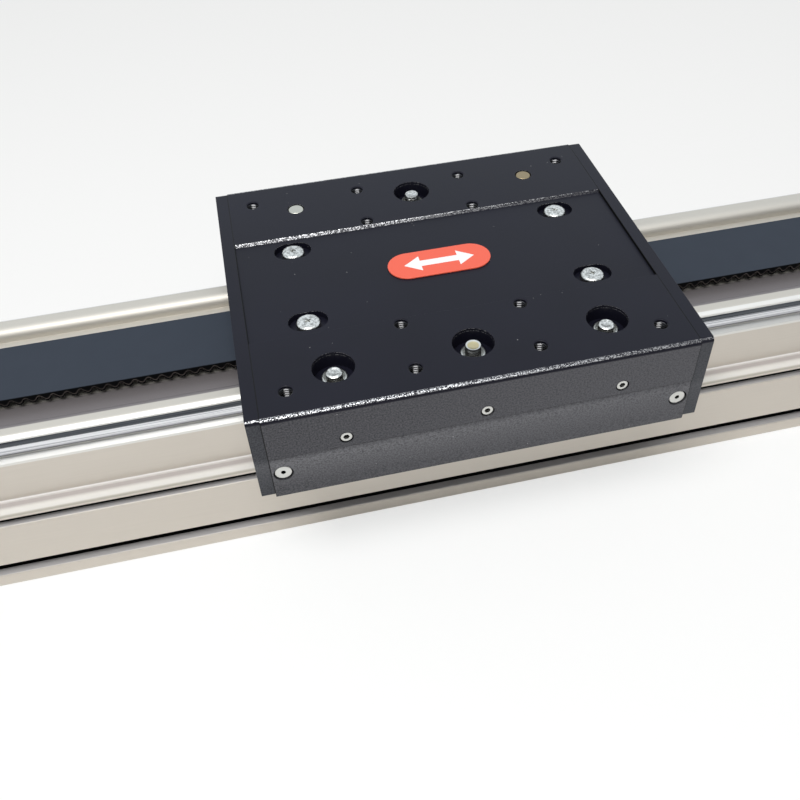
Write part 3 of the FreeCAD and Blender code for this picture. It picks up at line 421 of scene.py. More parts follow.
# %% Tones of the rail
RAIL_TONE = (0.60, 0.555, 0.495)
RAIL_SIDE = 40.0
UPPER_REFLECTION = {"tone": (0.56, 0.53, 0.475), "depth": (5.2, 5.4), "height": (66.0, 66.2)}
SEAT_REFLECTION = {"tone": (0.70, 0.69, 0.66), "depth": (6.8, 7.0), "height": (63.2, 63.6)}
CHANNEL_SHADE = {"tone": (0.22, 0.20, 0.20), "depth": (10.4, 10.8), "height": (70, 71)}
CHANNEL_FRONT = (-14, -13)
LEDGE_HIGHLIGHT_TONES = ((0.44, 0.41, 0.355), (0.66, 0.64, 0.60), (0.39, 0.355, 0.335), (0.78, 0.76, 0.73))
LEDGE_LEVELS = (42.3, 43.6, 44.8)
LEDGE_BLUR = 0.3
LEDGE_HEIGHT = ((41.2, 41.4), (45.4, 45.5))
LEDGE_DEPTH = ((-0.1, -0.05), (5.2, 5.4))
SLOT_BLUR = 0.2
SLOT_END = 0.1
SLOT_SHADE = (0.012, 0.012, 0.012)
LIT_LIP_TONE = (0.44, 0.425, 0.42)
LIP_DEPTH = (0.3, 0.4)
LIP_HEIGHT = ((4.3, 4.5), (41.9, 42.1))
SLOTS = (
    {"bottom": 33.9, "top": 41.9, "lip": 2.8, "depth": 8.2},
    {"bottom": 4.3, "top": 15.4, "lip": 3.6, "depth": 10.7},
)


def painted_ledge_bands(finish, z):
    # Painted highlights and reflections: four bands of tone up the rounded ledge.
    band = LEDGE_HIGHLIGHT_TONES[0]
    for level, tone in zip(LEDGE_LEVELS, LEDGE_HIGHLIGHT_TONES[1:]):
        band = finish.mix(z.ramp(level - LEDGE_BLUR, level + LEDGE_BLUR), band, tone)
    return band


def slot_shade(finish, skin, deep, z):
    # Painted shade darkens each slot's chamber; its lip gets a lighter painted grey.
    for slot in SLOTS:
        bottom, top, lip, depth = slot["bottom"], slot["top"], slot["lip"], slot["depth"]
        within = z.band((bottom - SLOT_BLUR, bottom), (top, top + SLOT_BLUR))
        within = within * (1 - deep.ramp(depth, depth + SLOT_END))
        skin = finish.mix(within * deep.ramp(*LIP_DEPTH), skin, LIT_LIP_TONE)
        chamber = deep.ramp(lip - SLOT_END, lip + SLOT_BLUR)
        skin = finish.mix(within * chamber, skin, SLOT_SHADE)
    return skin


def rail_aluminium():
    finish = satin_aluminium("rail_aluminium", RAIL_TONE)
    x, y, z = finish.axes()
    deep = RAIL_SIDE - abs(y)
    # Painted reflections: the upper channel wall and the shaft seat get tones of their own.
    upper = deep.ramp(*UPPER_REFLECTION["depth"]) * z.ramp(*UPPER_REFLECTION["height"])
    seat = (1 - deep.ramp(*SEAT_REFLECTION["depth"])) * z.ramp(*SEAT_REFLECTION["height"])
    # Painted shade on the channel floor in front of the belt.
    channel = deep.ramp(*CHANNEL_SHADE["depth"]) * z.ramp(*CHANNEL_SHADE["height"])
    channel = channel * (1 - y.ramp(*CHANNEL_FRONT))
    skin = finish.mix(upper, finish.skin, UPPER_REFLECTION["tone"])
    skin = finish.mix(seat, skin, SEAT_REFLECTION["tone"])
    skin = finish.mix(channel, skin, CHANNEL_SHADE["tone"])
    ledge = z.band(*LEDGE_HEIGHT) * deep.band(*LEDGE_DEPTH)
    skin = finish.mix(ledge, skin, painted_ledge_bands(finish, z))
    lips = z.band(*LIP_HEIGHT) * deep.ramp(*LIP_DEPTH)
    finish.set("Base Color", slot_shade(finish, skin, deep, z))
    finish.set("Metallic", SATIN_METALLIC - lips * 0.55 - ledge * 0.6)
    finish.set("Roughness", 0.44 + ledge * 0.4 + upper * 0.12)
    return finish


finishes["rail_aluminium"] = rail_aluminium()
print("made:", list(finishes))

# %% [markdown]
# Hardened shafts are ground and then polished by the rollers. They mirror the room in long
# streaks, so their roughness is low and their lines are very fine; painted dark streaks and a
# darker lower side add painted reflections. Screws are zinc plated, which is duller. The sockets
# of the side screws get painted shade: a dark disc round each axis paints them.

# %% Steel finishes
ZINC = (0.60, 0.60, 0.575)
ZINC_ROUGHNESS = 0.32
SHAFT_BRIGHT = (0.72, 0.73, 0.75)
SHAFT_STREAK = (0.34, 0.35, 0.38)
SHAFT_LOW = (0.15, 0.16, 0.19)
SHAFT_DARK_SIDE_Z = (69.8, 71.4)
ALONG_SHAFT = (0.01, 1, 1)
ALONG_STREAKS = (0.004, 1, 1)
STREAKS = (0.5, 0.6)
GROUND_DEPTH = 0.004
LOCK_SOCKET = 0.95
CAP_SOCKET = 0.85
PIN_TONES = ((0.50, 0.49, 0.43), (0.30, 0.235, 0.14))
PIN_SPLIT = (-1, 1)
PLAIN_STEELS = {
    "zinc_steel": (ZINC, ZINC_ROUGHNESS),
    "bearing_steel": ((0.62, 0.62, 0.62), 0.22),
    "black_steel": ((0.06, 0.06, 0.065), 0.35),
}


def ground_steel(name, tone, roughness=ZINC_ROUGHNESS, along=(1, 1, 1)):
    finish = Finish(name, tone, metallic=1.0, roughness=roughness)
    lines = finish.noise(scale=5, detail=3, stretch=along)
    finish.set("Roughness", roughness * 0.8 + lines * roughness * 0.4)
    finish.bump(lines, GROUND_DEPTH)
    return finish


def shaft_steel():
    # Painted reflections: fine dark streaks along the shafts, and below them a darker lower side.
    finish = ground_steel("shaft_steel", SHAFT_BRIGHT, roughness=0.1, along=ALONG_SHAFT)
    streaks = finish.noise(scale=2.2, detail=2, stretch=ALONG_STREAKS).ramp(*STREAKS)
    x, y, z = finish.axes()
    clean = finish.mix(streaks, SHAFT_BRIGHT, SHAFT_STREAK)
    lower_reflection = finish.mix(streaks, SHAFT_LOW, SHAFT_STREAK)
    finish.set("Base Color", finish.mix(1 - z.ramp(*SHAFT_DARK_SIDE_Z), clean, lower_reflection))
    return finish


def socket_zinc():
    # The side screws: the same zinc, with painted shade in the socket in the middle of each.
    finish = ground_steel("socket_zinc", ZINC)
    x, y, z = finish.axes()
    socket = lock_discs(x, z, LOCK_SOCKET) + disc(abs(x), z, CAP_SCREW_X, CAP_SCREW_Z, CAP_SOCKET)
    finish.set("Base Color", finish.mix(socket.math("MINIMUM", 1.0), ZINC, SHADE_AND_SEAM_BLACK))
    return finish


def pin_steel():
    # The rear right pin is yellow passivated, the left one is bare.
    finish = ground_steel("pin_steel", ZINC, roughness=0.35)
    x, y, z = finish.axes()
    finish.set("Base Color", finish.mix(x.ramp(*PIN_SPLIT), *PIN_TONES))
    return finish


for name, (tone, roughness) in PLAIN_STEELS.items():
    finishes[name] = ground_steel(name, tone, roughness)
for make in (shaft_steel, socket_zinc, pin_steel):
    finishes[make.__name__] = make()
print("made:", list(finishes))

# %% [markdown]
# Threads are too fine to light up by their shape alone, so painted light and shade help them.
# Round each stud's axis, whatever lies deeper than the crests gets painted shade as a dark root.
# In the table holes the thread is dark, and a painted highlight lights only a narrow strip of its
# crests.

# %% Thread finishes
STUD_CREST = 2.92
STUD_ROOT = (-0.26, -0.18)
STUD_FACE = (-2.0, -1.9)
WORN_ZINC = (0.30, 0.30, 0.285)
WORN_LIGHT = tuple(1.3 * channel for channel in ZINC)
WORN_MARKS = (0.4, 0.6)
WORN_DEPTH = 0.05
DISH_TONE = (0.52, 0.45, 0.27)
DISH_EDGE = (1.9, 2.3)
THREAD_DARK = (0.04, 0.04, 0.042)
THREAD_GLINT = (0.62, 0.62, 0.63)
CREST_EDGE = (2.22, 2.36)
GLINT_MIDDLE = 0.3
GLINT_EDGE = (0.5, 1.1)
stud_low, stud_high = [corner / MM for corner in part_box("roller_studs")]


def thread_root_shade(x, y, z):
    # Painted shade in the thread roots of the four roller studs, which stand 50 mm apart.
    middle = from_axis(off_column(x + ROLLER_X / 2, ROLLER_X), abs(y) - ROLLER_Y)
    below = 1 - (z - stud_high.z).ramp(*STUD_FACE)
    return (1 - (middle - STUD_CREST).ramp(*STUD_ROOT)) * below


def worn_zinc():
    # Screws and studs that tools have marked: the zinc is mottled and scratched.
    finish = ground_steel("worn_zinc", ZINC)
    x, y, z = finish.axes()
    marks = finish.noise(scale=0.9, detail=4, roughness=0.75)
    face = finish.mix(marks.ramp(*WORN_MARKS), WORN_ZINC, WORN_LIGHT)
    # Painted shade in the thread roots.
    finish.set("Base Color", finish.mix(thread_root_shade(x, y, z), face, SHADE_AND_SEAM_BLACK))
    finish.bump(marks, WORN_DEPTH)
    return finish


def dished_zinc():
    # The front middle stud: the dish in its end is yellow passivated.
    finish = ground_steel("dished_zinc", ZINC, roughness=0.3)
    x, y, z = finish.axes()
    dish = 1 - from_axis(x, y + ROLLER_Y).ramp(*DISH_EDGE)
    face = finish.mix(dish, ZINC, DISH_TONE)
    # Painted shade in the thread roots.
    finish.set("Base Color", finish.mix(thread_root_shade(x, y, z), face, SHADE_AND_SEAM_BLACK))
    return finish


def cut_thread():
    finish = ground_steel("thread_steel", THREAD_DARK, roughness=0.3)
    x, y, z = finish.axes()
    column = off_column(x, HOLE_STEP)
    rows = [abs(abs(y) - row) for row in HOLE_ROWS]
    crest = 1 - from_axis(column, rows[0].math("MINIMUM", rows[1])).ramp(*CREST_EDGE)
    # Painted highlight: only a narrow strip of the crests in each hole shines.
    painted_glint = crest * (1 - abs(column - GLINT_MIDDLE).ramp(*GLINT_EDGE))
    finish.set("Base Color", finish.mix(painted_glint, THREAD_DARK, THREAD_GLINT))
    finish.set("Metallic", 1 - painted_glint)
    return finish


for make in (worn_zinc, dished_zinc, cut_thread):
    finishes[make.__name__] = make()
print("made:", list(finishes))

# %% [markdown]
# The belt is rubber with a smooth blue grey back. Its sides are cut, so they are blacker, and
# the cut shows the fabric as a thin line that follows the teeth from within. A cosine along the
# belt draws it, because the line has the same pitch as the teeth.

# %% Belt rubber
BELT_BACK = (0.039, 0.048, 0.064)
BELT_SIDE = (0.002, 0.002, 0.0025)
BELT_PITCH = 5.0
BELT_LAND = 1.74
BACK_SKIN = (-0.3, -0.2)
CUT_FACE = (14.96, 14.97)
FABRIC = (0.085, 0.073, 0.066)
FABRIC_MIDDLE = 0.3
FABRIC_SWING = 0.95
FABRIC_WIDTH = (0.12, 0.3)
FABRIC_SEEN = (0.2, 0.6)
BELT_DEPTH = 0.02
belt_low, belt_high = [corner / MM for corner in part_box("drive_belt")]
belt_middle = (belt_low.z + belt_high.z) / 2
belt_outer = (belt_high.z - belt_low.z) / 2
pulley_place = belt_high.x - belt_outer


def belt_rubber():
    finish = Finish("belt_rubber", BELT_SIDE, roughness=0.55, specular=0.08)
    x, y, z = finish.axes()
    beyond = (abs(x) - pulley_place).math("MAXIMUM", 0.0)
    radius = from_axis(beyond, z - belt_middle)
    back = (radius - belt_outer).ramp(*BACK_SKIN)
    rise = (belt_outer - BELT_LAND) - radius
    wave = (x * (2 * math.pi / BELT_PITCH)).math("COSINE") * FABRIC_SWING + FABRIC_MIDDLE
    line = 1 - abs(rise - wave).ramp(*FABRIC_WIDTH)
    mottle = finish.noise(scale=0.12, detail=5)
    fabric = line * abs(y).ramp(*CUT_FACE) * mottle.ramp(*FABRIC_SEEN)
    cut = finish.mix(fabric, BELT_SIDE, FABRIC)
    top = finish.mix(mottle, tuple(0.9 * channel for channel in BELT_BACK), BELT_BACK)
    finish.set("Base Color", finish.mix(back, cut, top))
    finish.set("Roughness", 0.95 - back * 0.4)
    finish.bump(finish.noise(scale=3, detail=3), BELT_DEPTH)
    return finish


finishes["belt_rubber"] = belt_rubber()
print("belt from", round(belt_low.x), "to", round(belt_high.x), "mm")

# %% [markdown]
# Three plain finishes are left: moulded rubber for the bumpers, red enamel for the badge, which is
# a thin pill, and the white that is printed on it. Each has one tone and a fine grain.

# %% Rubber, enamel and print
PLAIN_FINISHES = {
    "bumper_rubber": {"color": (0.018, 0.018, 0.019), "roughness": 0.7, "specular": 0.3},
    "badge_enamel": {"color": (0.79, 0.112, 0.06), "roughness": 0.35},
    "white_print": {"color": (0.86, 0.87, 0.87), "roughness": 0.5},
}
GRAINS = {
    "bumper_rubber": {"scale": 2.5, "detail": 3, "depth": 0.03},
    "badge_enamel": {"scale": 1.5, "detail": 2, "depth": 0.01},
    "white_print": {"scale": 2, "detail": 2, "depth": 0.01},
}
for name, looks in PLAIN_FINISHES.items():
    finishes[name] = Finish(name, **looks)
    grain = GRAINS[name]
    pattern = finishes[name].noise(scale=grain["scale"], detail=grain["detail"])
    finishes[name].bump(pattern, grain["depth"])
print("made:", list(finishes))

# %% [markdown]
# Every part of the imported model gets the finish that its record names, apart from the side screws
# and the two pins, whose finishes were made above.

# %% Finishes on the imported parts
OWN_FINISH = {
    "roller_lock_screws": "socket_zinc",
    "end_cap_screws": "socket_zinc",
    "roller_pins": "pin_steel",
}
node_slots = {row["node"]: row["material_slot"] for row in frame["record"]["subparts"]}


def coat(thing, name):
    thing.data.materials.clear()
    thing.data.materials.append(finishes[name].material)


for node, thing in frame["nodes"].items():
    coat(thing, OWN_FINISH.get(node, node_slots[node]))
print("finished parts:", len(node_slots))

# %% [markdown]
# These tools end a piece: they apply its modifiers, shade it and hand it over. One of them takes
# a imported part, merges its loose triangles into clean faces and rounds every sharp edge a little,
# because a real edge always catches the light.

# %% Tools for finished pieces
SMOOTH_ANGLE = math.radians(50)
BEVEL_ANGLE = math.radians(40)
FLAT_ANGLE = math.radians(0.5)
MERGE = 0.002 * MM
BEVEL_STEPS = 2
AREA_WEIGHT = 100


def select_only(*things):
    if bpy.context.mode != "OBJECT":
        bpy.ops.object.mode_set(mode="OBJECT")
    bpy.ops.object.select_all(action="DESELECT")
    for thing in things:
        thing.select_set(True)
    bpy.context.view_layer.objects.active = things[0]


def apply_modifier(thing, kind, **settings):
    select_only(thing)
    modifier = thing.modifiers.new(kind.lower(), kind)
    for name, value in settings.items():
        setattr(modifier, name, value)
    bpy.ops.object.modifier_apply(modifier=modifier.name)


def hand_over(thing, name, body, slot, *nodes):
    thing.name = name
    thing.data.name = name
    if not thing.data.materials:
        coat(thing, slot)
    select_only(thing)
    bpy.ops.object.shade_smooth_by_angle(angle=SMOOTH_ANGLE)
    apply_modifier(thing, "WEIGHTED_NORMAL", keep_sharp=True, weight=AREA_WEIGHT)
    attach(thing, body)
    if nodes:
        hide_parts(*nodes)
    print(name, "has", len(thing.data.polygons), "faces")


def softened(node, width):
    source = frame["nodes"][node]
    piece = bpy.data.objects.new(node + "_soft", source.data.copy())
    bpy.context.scene.collection.objects.link(piece)
    select_only(piece)
    bpy.ops.object.mode_set(mode="EDIT")
    bpy.ops.mesh.select_all(action="SELECT")
    bpy.ops.mesh.remove_doubles(threshold=MERGE)
    bpy.ops.mesh.dissolve_limited(angle_limit=FLAT_ANGLE)
    bpy.ops.object.mode_set(mode="OBJECT")
    settings = {"limit_method": "ANGLE", "angle_limit": BEVEL_ANGLE, "use_clamp_overlap": True}
    apply_modifier(piece, "BEVEL", width=width * MM, segments=BEVEL_STEPS, **settings)
    hand_over(piece, node + "_soft", source["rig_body"], node_slots[node], node)


print("tools for finished pieces ready")

# %% [markdown]
# Turned parts are spun from an outline, as on a lathe: a single point is extruded from corner to
# corner and then spun. A thread is an outline too, wound up with a Screw modifier. Parts that
# repeat are copies of one pattern.

# %% Tools for turned parts
SPIN_STEPS = 48
WIND_STEPS = 28
CREST_FLAT = 0.12


def outline(name, points):
    # A chain of edges in the XZ plane, drawn point by point in millimetres.
    bpy.ops.object.select_all(action="DESELECT")
    bpy.ops.mesh.primitive_plane_add(size=1 * MM, location=(0, 0, 0))
    thing = bpy.context.object
    thing.name = name
    bpy.ops.object.mode_set(mode="EDIT")
    bpy.ops.mesh.select_all(action="SELECT")
    bpy.ops.mesh.merge(type="CENTER")
    first = Vector((points[0][0], 0, points[0][1])) * MM
    bpy.ops.transform.translate(value=first)
    for before, after in zip(points, points[1:]):
        step = Vector((after[0] - before[0], 0, after[1] - before[1])) * MM
        bpy.ops.mesh.extrude_region_move(TRANSFORM_OT_translate={"value": step})
    return thing


def spun(name, points, steps=SPIN_STEPS):
    thing = outline(name, points)
    bpy.ops.mesh.select_all(action="SELECT")
    bpy.ops.mesh.spin(steps=steps, angle=2 * math.pi, center=(0, 0, 0), axis=(0, 0, 1))
    bpy.ops.mesh.select_all(action="SELECT")
    bpy.ops.mesh.remove_doubles(threshold=MERGE)
    bpy.ops.mesh.normals_make_consistent(inside=False)
    bpy.ops.object.mode_set(mode="OBJECT")
    return thing


def wound(name, core, crest, pitch, turns):
    # One V of the thread, from core radius out or in to the crest, wound up along Z.
    flat = pitch * CREST_FLAT
    points = [(core, 0), (crest, pitch / 2 - flat), (crest, pitch / 2 + flat), (core, pitch)]
    thing = outline(name, points)
    bpy.ops.object.mode_set(mode="OBJECT")
    settings = {"axis": "Z", "screw_offset": pitch * MM, "iterations": turns}
    settings.update({"steps": WIND_STEPS, "render_steps": WIND_STEPS, "use_merge_vertices": True})
    apply_modifier(thing, "SCREW", **settings)
    select_only(thing)
    bpy.ops.object.mode_set(mode="EDIT")
    bpy.ops.mesh.select_all(action="SELECT")
    bpy.ops.mesh.remove_doubles(threshold=MERGE)
    bpy.ops.object.mode_set(mode="OBJECT")
    return thing


def copies(pattern, places, turns=None):
    # The pattern, turned about Z and moved to each place in millimetres, with its own mesh.
    made = []
    for place, turn in zip(places, turns or [0] * len(places)):
        thing = pattern.copy()
        thing.data = pattern.data.copy()
        bpy.context.scene.collection.objects.link(thing)
        move = Matrix.Translation(Vector(place) * MM)
        thing.data.transform(move @ Matrix.Rotation(turn, 4, "Z"))
        made.append(thing)
    bpy.data.objects.remove(pattern)
    return made


def joined(things):
    select_only(*things)
    bpy.ops.object.join()
    return bpy.context.object


print("tools for turned parts ready")

# %% [markdown]
# The carriage, its end caps, the rail and the blocks have the right shape already, and so have
# their screws. They only get rounded edges, with a width in millimetres for each.

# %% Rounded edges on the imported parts
EDGE_WIDTHS = {
    "carriage_plate": 0.22,
    "left_end_cap": 0.22,
    "right_end_cap": 0.22,
    "rail_profile": 0.12,
    "drive_housing": 0.5,
    "idler_housing": 0.4,
    "drive_end_cover": 0.4,
    "idler_end_cover": 0.4,
    "end_cap_screws": 0.25,
    "roller_lock_screws": 0.15,
    "roller_pins": 0.25,
    "drive_cover_screws": 0.25,
    "idler_cover_screws": 0.25,
    "tension_screws": 0.25,
    "tension_blocks": 0.3,
    "badge_plate": 0.15,
}
for node, width in EDGE_WIDTHS.items():
    softened(node, width)
print("softened:", len(EDGE_WIDTHS))

# %% [markdown]
# The holes of the carriage are tapped. A V wound along the hole's wall gives the thread, whose
# crests catch the light one above the other.

# %% Threads in the table holes
HOLE_PAIRS = (
    (HOLE_STEP * 1.5, HOLE_ROWS[0]),
    (HOLE_STEP / 2, HOLE_ROWS[0]),
    (HOLE_STEP / 2, HOLE_ROWS[1]),
)
HOLE_MOUTH = 0.35
TABLE_THREAD = {"core": 2.49, "crest": 2.08, "pitch": 1.0, "turns": 13}


def four_ways(pair, height):
    return [(a * pair[0], b * pair[1], height) for a in (-1, 1) for b in (-1, 1)]


# A wound V ends one pitch above its last turn, so the turns leave room for it.
thread_bottom = plate_high.z - HOLE_MOUTH - (TABLE_THREAD["turns"] + 1) * TABLE_THREAD["pitch"]
hole_places = []
for pair in HOLE_PAIRS:
    hole_places += four_ways(pair, thread_bottom)
thread = wound("thread", **TABLE_THREAD)
coat(thread, "cut_thread")
table_threads = joined(copies(thread, hole_places))
hand_over(table_threads, "table_hole_threads", "carriage", "black_anodised")

# %% [markdown]
# Four of the six rollers hang on studs. The threaded end of a stud shows in a round pocket of the
# carriage, inside the thin rim of an eccentric bush. Both are turned parts, so both are spun. The
# two outer studs are shorter than the middle ones, and the front middle one has a yellow dish.

# %% Roller studs
bush_low, bush_high = [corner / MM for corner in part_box("eccentric_bushes")]
roller_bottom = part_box("front_left_roller")[0].z / MM
STUD_HEAD = 6.0
HEAD_CHAMFER = 0.4
SOCKET = 2.2
SOCKET_CHAMFER = 0.2
SOCKET_DEPTH = 2.0
JOURNAL = 3.98
JOURNAL_GAP = 0.05
STUD_CORE = 2.6
STUD_PITCH = 1.0
TIP_CORE = 0.9
TIP_CREST = 0.7
TIP_CHAMFER = 0.45
DISH_RIM = 0.35
DISH_WALL = 0.3
DISH_DEPTH = 0.35
THREAD_END = 1.8
THREAD_ROOM = 0.1
THREAD_OVERLAP = 0.02
SHORTER = 1.0


def stud(top, face):
    # The face is the flat end's radius. A shallow dish is turned into it.
    shoulder = bush_low.z - JOURNAL_GAP
    points = [
        (0, stud_low.z + SOCKET_DEPTH),
        (SOCKET, stud_low.z + SOCKET_DEPTH),
        (SOCKET, stud_low.z + SOCKET_CHAMFER),
        (SOCKET + SOCKET_CHAMFER, stud_low.z),
        (STUD_HEAD - HEAD_CHAMFER, stud_low.z),
        (STUD_HEAD, stud_low.z + HEAD_CHAMFER),
        (STUD_HEAD, roller_bottom),
        (JOURNAL, roller_bottom),
        (JOURNAL, shoulder),
        (STUD_CORE, shoulder),
        (STUD_CORE, top - TIP_CORE),
        (STUD_CREST, top - TIP_CREST),
        (STUD_CREST, top - TIP_CHAMFER),
        (face, top),
        (face - DISH_RIM, top),
        (face - 2 * DISH_RIM, top - DISH_WALL),
        (0, top - DISH_DEPTH),
    ]
    body = spun("stud", points)
    turns = int((top - THREAD_END - THREAD_ROOM - bush_low.z) / STUD_PITCH)
    thread = wound("stud_thread", STUD_CORE - THREAD_OVERLAP, STUD_CREST, STUD_PITCH, turns)
    start = top - THREAD_END - turns * STUD_PITCH
    thread.data.transform(Matrix.Translation((0, 0, start * MM)))
    return joined([body, thread])


studs = [
    ("front_left_stud", (-ROLLER_X, -ROLLER_Y, 0), SHORTER, 2.35, "worn_zinc"),
    ("front_middle_stud", (0, -ROLLER_Y, 0), 0, 2.7, "dished_zinc"),
    ("front_right_stud", (ROLLER_X, -ROLLER_Y, 0), SHORTER, 2.35, "worn_zinc"),
    ("rear_middle_stud", (0, ROLLER_Y, 0), 0, 2.6, "worn_zinc"),
]
for name, place, short, face, finish in studs:
    piece = copies(stud(stud_high.z - short, face), [place])[0]
    coat(piece, finish)
    hand_over(piece, name, "carriage", "bearing_steel", "roller_studs")

# %% Eccentric bushes
BUSH_OUTER = 4.57
BUSH_RIM = 3.9
BUSH_BORE = 3.03
BUSH_CHAMFER = 0.15
BUSH_LIFT = 0.01
RIM_DEPTH = 2.2
bush_points = [
    (BUSH_BORE, bush_low.z + BUSH_LIFT),
    (BUSH_OUTER, bush_low.z + BUSH_LIFT),
    (BUSH_OUTER, bush_high.z - BUSH_CHAMFER),
    (BUSH_OUTER - BUSH_CHAMFER, bush_high.z),
    (BUSH_RIM, bush_high.z),
    (BUSH_RIM, bush_high.z - RIM_DEPTH),
    (BUSH_BORE, bush_high.z - RIM_DEPTH),
    (BUSH_BORE, bush_low.z + BUSH_LIFT),
]
bush_places = [place for name, place, short, face, finish in studs]
bushes = joined(copies(spun("bush", bush_points), bush_places))
hand_over(bushes, "eccentric_bush_set", "carriage", "zinc_steel", "eccentric_bushes")

# %% [markdown]
# The belt clamps are held by pan head screws with a cross recess. The screw is spun: its dome is a
# row of points, each a little further in and higher than the last. The recess is cut by two wings
# that taper towards their tips, as a driver's do.

# %% Belt clamp screws
clamp_low, clamp_high = [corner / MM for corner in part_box("belt_clamp_screws")]
HEAD_RADIUS = 4.55
HEAD_HEIGHT = 2.9
SHANK_RADIUS = 1.97
SHANK_CHAMFER = 0.4
HEAD_CORNER = (0.15, 0.2)
HEAD_DOME = ((0, 1.3), (0.2, 0.75), (0.7, 0.3), (1.5, 0.08), (HEAD_RADIUS, 0))
CLAMP_PLACE = (55.0, clamp_high.y - HEAD_RADIUS)
SCREW_STEPS = 40
SCREW_TURNS = (0.5, 1.1, 0.2, 0.8)
WING_SIZE = (3.8 * MM, 0.8 * MM, 1.7 * MM, 1)
WING_TIP = (0.35, 0.7)


def recess_wing():
    bpy.ops.object.select_all(action="DESELECT")
    bpy.ops.mesh.primitive_cube_add(size=1)
    wing = bpy.context.object
    wing.data.transform(Matrix.Diagonal(WING_SIZE))
    for vertex in wing.data.vertices:
        if vertex.co.z < 0:
            vertex.co.x *= WING_TIP[0]
            vertex.co.y *= WING_TIP[1]
    return wing


def clamp_screw():
    top = clamp_high.z
    seat = top - HEAD_HEIGHT
    points = [
        (0, clamp_low.z),
        (SHANK_RADIUS - SHANK_CHAMFER, clamp_low.z),
        (SHANK_RADIUS, clamp_low.z + SHANK_CHAMFER),
        (SHANK_RADIUS, seat),
        (HEAD_RADIUS - HEAD_CORNER[0], seat),
        (HEAD_RADIUS, seat + HEAD_CORNER[1]),
    ]
    points += [(HEAD_RADIUS - inward, top - down) for inward, down in HEAD_DOME]
    screw = spun("clamp_screw", points, SCREW_STEPS)
    for turn in (0, math.pi / 2):
        wing = recess_wing()
        lift = Matrix.Translation((0, 0, top * MM))
        wing.data.transform(lift @ Matrix.Rotation(turn, 4, "Z"))
        apply_modifier(screw, "BOOLEAN", object=wing, operation="DIFFERENCE", solver="EXACT")
        bpy.data.objects.remove(wing)
    return screw


clamp_set = joined(copies(clamp_screw(), four_ways(CLAMP_PLACE, 0), SCREW_TURNS))
coat(clamp_set, "worn_zinc")
hand_over(clamp_set, "clamp_screw_set", "carriage", "zinc_steel", "belt_clamp_screws")

# %% [markdown]
# The badge carries a plain white arrow with two heads, which says that the carriage moves both
# ways. It is a thin flat print: a bar whose ends are extruded into points.

# %% Travel arrow on the badge
badge_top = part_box("badge_plate")[1].z
ARROW_HALF = 14.0
ARROW_HEAD = 6.5
ARROW_SPREAD = 4.6
ARROW_BAR = 1.7
PRINT_THICKNESS = 0.05
NEAR = 0.1


def travel_arrow():
    neck = ARROW_HALF - ARROW_HEAD
    bpy.ops.object.select_all(action="DESELECT")
    bpy.ops.mesh.primitive_plane_add(size=1)
    arrow = bpy.context.object
    arrow.data.transform(Matrix.Diagonal((2 * neck * MM, 2 * ARROW_BAR * MM, 1, 1)))
    for side in (-1, 1):
        select_only(arrow)
        bpy.ops.object.mode_set(mode="EDIT")
        bpy.ops.mesh.select_all(action="DESELECT")
        mesh = bmesh.from_edit_mesh(arrow.data)
        for edge in mesh.edges:
            ends = [vertex.co.x * side for vertex in edge.verts]
            edge.select_set(min(ends) > (neck - NEAR) * MM)
        bmesh.update_edit_mesh(arrow.data)
        bpy.ops.mesh.extrude_edges_move()
        bpy.ops.transform.resize(value=(1, ARROW_SPREAD / ARROW_BAR, 1))
        point = (side * ARROW_HEAD * MM, 0, 0)
        bpy.ops.mesh.extrude_edges_move(TRANSFORM_OT_translate={"value": point})
        bpy.ops.transform.resize(value=(1, 0, 1))
        bpy.ops.mesh.select_all(action="SELECT")
        bpy.ops.mesh.remove_doubles(threshold=MERGE)
        bpy.ops.object.mode_set(mode="OBJECT")
    arrow.data.transform(Matrix.Translation((0, 0, badge_top)))
    apply_modifier(arrow, "SOLIDIFY", thickness=PRINT_THICKNESS * MM, offset=1)
    return arrow


arrow = travel_arrow()
coat(arrow, "white_print")
hand_over(arrow, "badge_arrow", "carriage", "badge_enamel")

# %% [markdown]
# The axis lies on a pale table, which is one large plane. To the camera it also glows a little, so
# that it comes close to the white background and still keeps the shadow.

# %% Floor
WHITE = (0.97, 0.975, 0.97)
FLOOR_SIZE = 12.0
FLOOR_TONE = (0.93, 0.935, 0.93)
FLOOR_ROUGHNESS = 0.9
FLOOR_SPECULAR = 0.1
FLOOR_GLOW = 0.6


def mixed(tree, amount, first, second):
    node = tree.nodes.new("ShaderNodeMixShader")
    for socket, wire in zip(node.inputs, (amount, first, second)):
        tree.links.new(wire, socket)
    return node.outputs[0]


def add_floor():
    bpy.ops.mesh.primitive_plane_add(size=FLOOR_SIZE, location=(0, 0, 0))
    floor = bpy.context.object
    floor.name = "floor"
    finish = Finish("floor", FLOOR_TONE, roughness=FLOOR_ROUGHNESS, specular=FLOOR_SPECULAR)
    tree = finish.tree
    glow = tree.nodes.new("ShaderNodeEmission")
    glow.inputs["Color"].default_value = (*WHITE, 1)
    path = tree.nodes.new("ShaderNodeLightPath").outputs
    share = Wire(finish, path["Is Camera Ray"]) * FLOOR_GLOW
    seen = mixed(tree, share.socket, finish.shader.outputs[0], glow.outputs[0])
    tree.links.new(seen, tree.nodes["Material Output"].inputs[0])
    floor.data.materials.append(finish.material)


add_floor()
print("floor:", FLOOR_SIZE, "m wide")

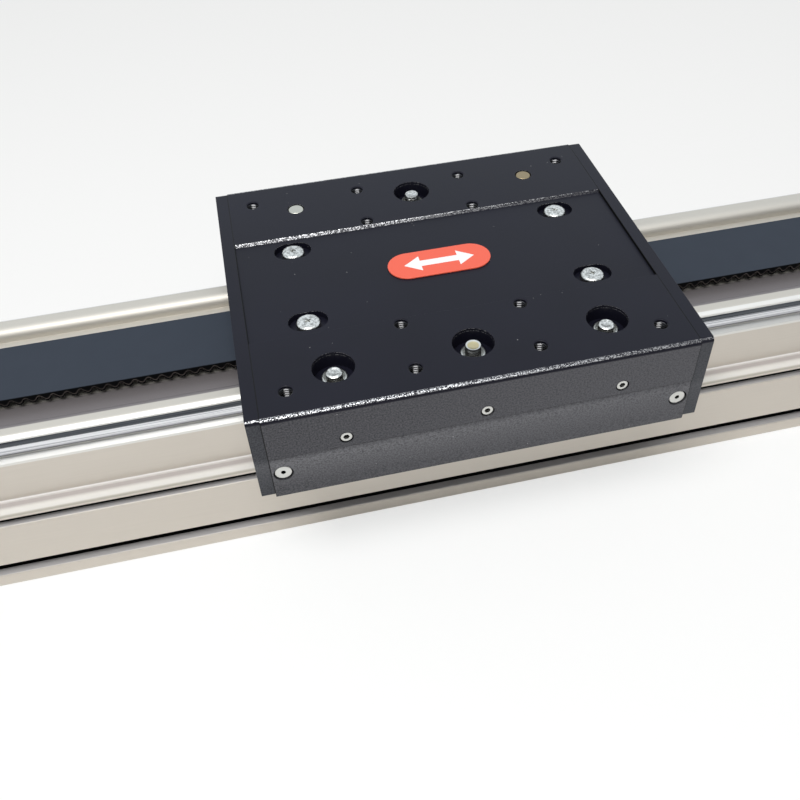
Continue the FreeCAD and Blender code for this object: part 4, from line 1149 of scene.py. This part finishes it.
# %% [markdown]
# A wide soft lamp hangs above the axis, a little to the left and in front, so its shadow falls
# behind, and the world adds even light. Mirrors see a room that is bright everywhere but in front,
# where it is dark, which gives the metal its dark and bright streaks.

# %% World and lamp
FILL = 0.4
ROOM = (1.0, 1.08, 1.16)
DARK_SHARE = 0.12
DARK_START = -0.4
DARK_END = -0.7
LAMP_PLACE = (-0.2, -0.44, 1.0)
LAMP_SIZE = (0.7, 0.35)
LAMP_POWER = 10
LAMP_TARGET = (0, 0, 0.06)


def background(nodes, color, strength):
    node = nodes.new("ShaderNodeBackground")
    node.inputs["Color"].default_value = (*color, 1)
    node.inputs["Strength"].default_value = strength
    return node.outputs[0]


def light_world():
    world = bpy.data.worlds.new("studio")
    world.use_nodes = True
    bpy.context.scene.world = world
    tree = world.node_tree
    path = tree.nodes.new("ShaderNodeLightPath").outputs
    way = tree.nodes.new("ShaderNodeSeparateXYZ")
    tree.links.new(tree.nodes.new("ShaderNodeTexCoord").outputs["Generated"], way.inputs[0])
    front = tree.nodes.new("ShaderNodeMapRange")
    front.inputs["From Min"].default_value = DARK_START
    front.inputs["From Max"].default_value = DARK_END
    tree.links.new(way.outputs["Y"], front.inputs["Value"])
    light_room = background(tree.nodes, ROOM, 1)
    dark_room = background(tree.nodes, ROOM, DARK_SHARE)
    room = mixed(tree, front.outputs[0], light_room, dark_room)
    fill = background(tree.nodes, (1, 1, 1), FILL)
    lit = mixed(tree, path["Is Glossy Ray"], fill, room)
    seen = mixed(tree, path["Is Camera Ray"], lit, background(tree.nodes, WHITE, 1))
    tree.links.new(seen, tree.nodes["World Output"].inputs[0])


def add_lamp():
    data = bpy.data.lights.new("key_lamp", "AREA")
    data.shape = "RECTANGLE"
    data.size, data.size_y = LAMP_SIZE
    data.energy = LAMP_POWER
    lamp = bpy.data.objects.new("key_lamp", data)
    bpy.context.scene.collection.objects.link(lamp)
    aim = (Vector(LAMP_TARGET) - Vector(LAMP_PLACE)).to_track_quat("-Z", "Y")
    lamp.matrix_world = Matrix.Translation(LAMP_PLACE) @ aim.to_matrix().to_4x4()


light_world()
add_lamp()
bpy.context.scene.view_settings.view_transform = "Standard"
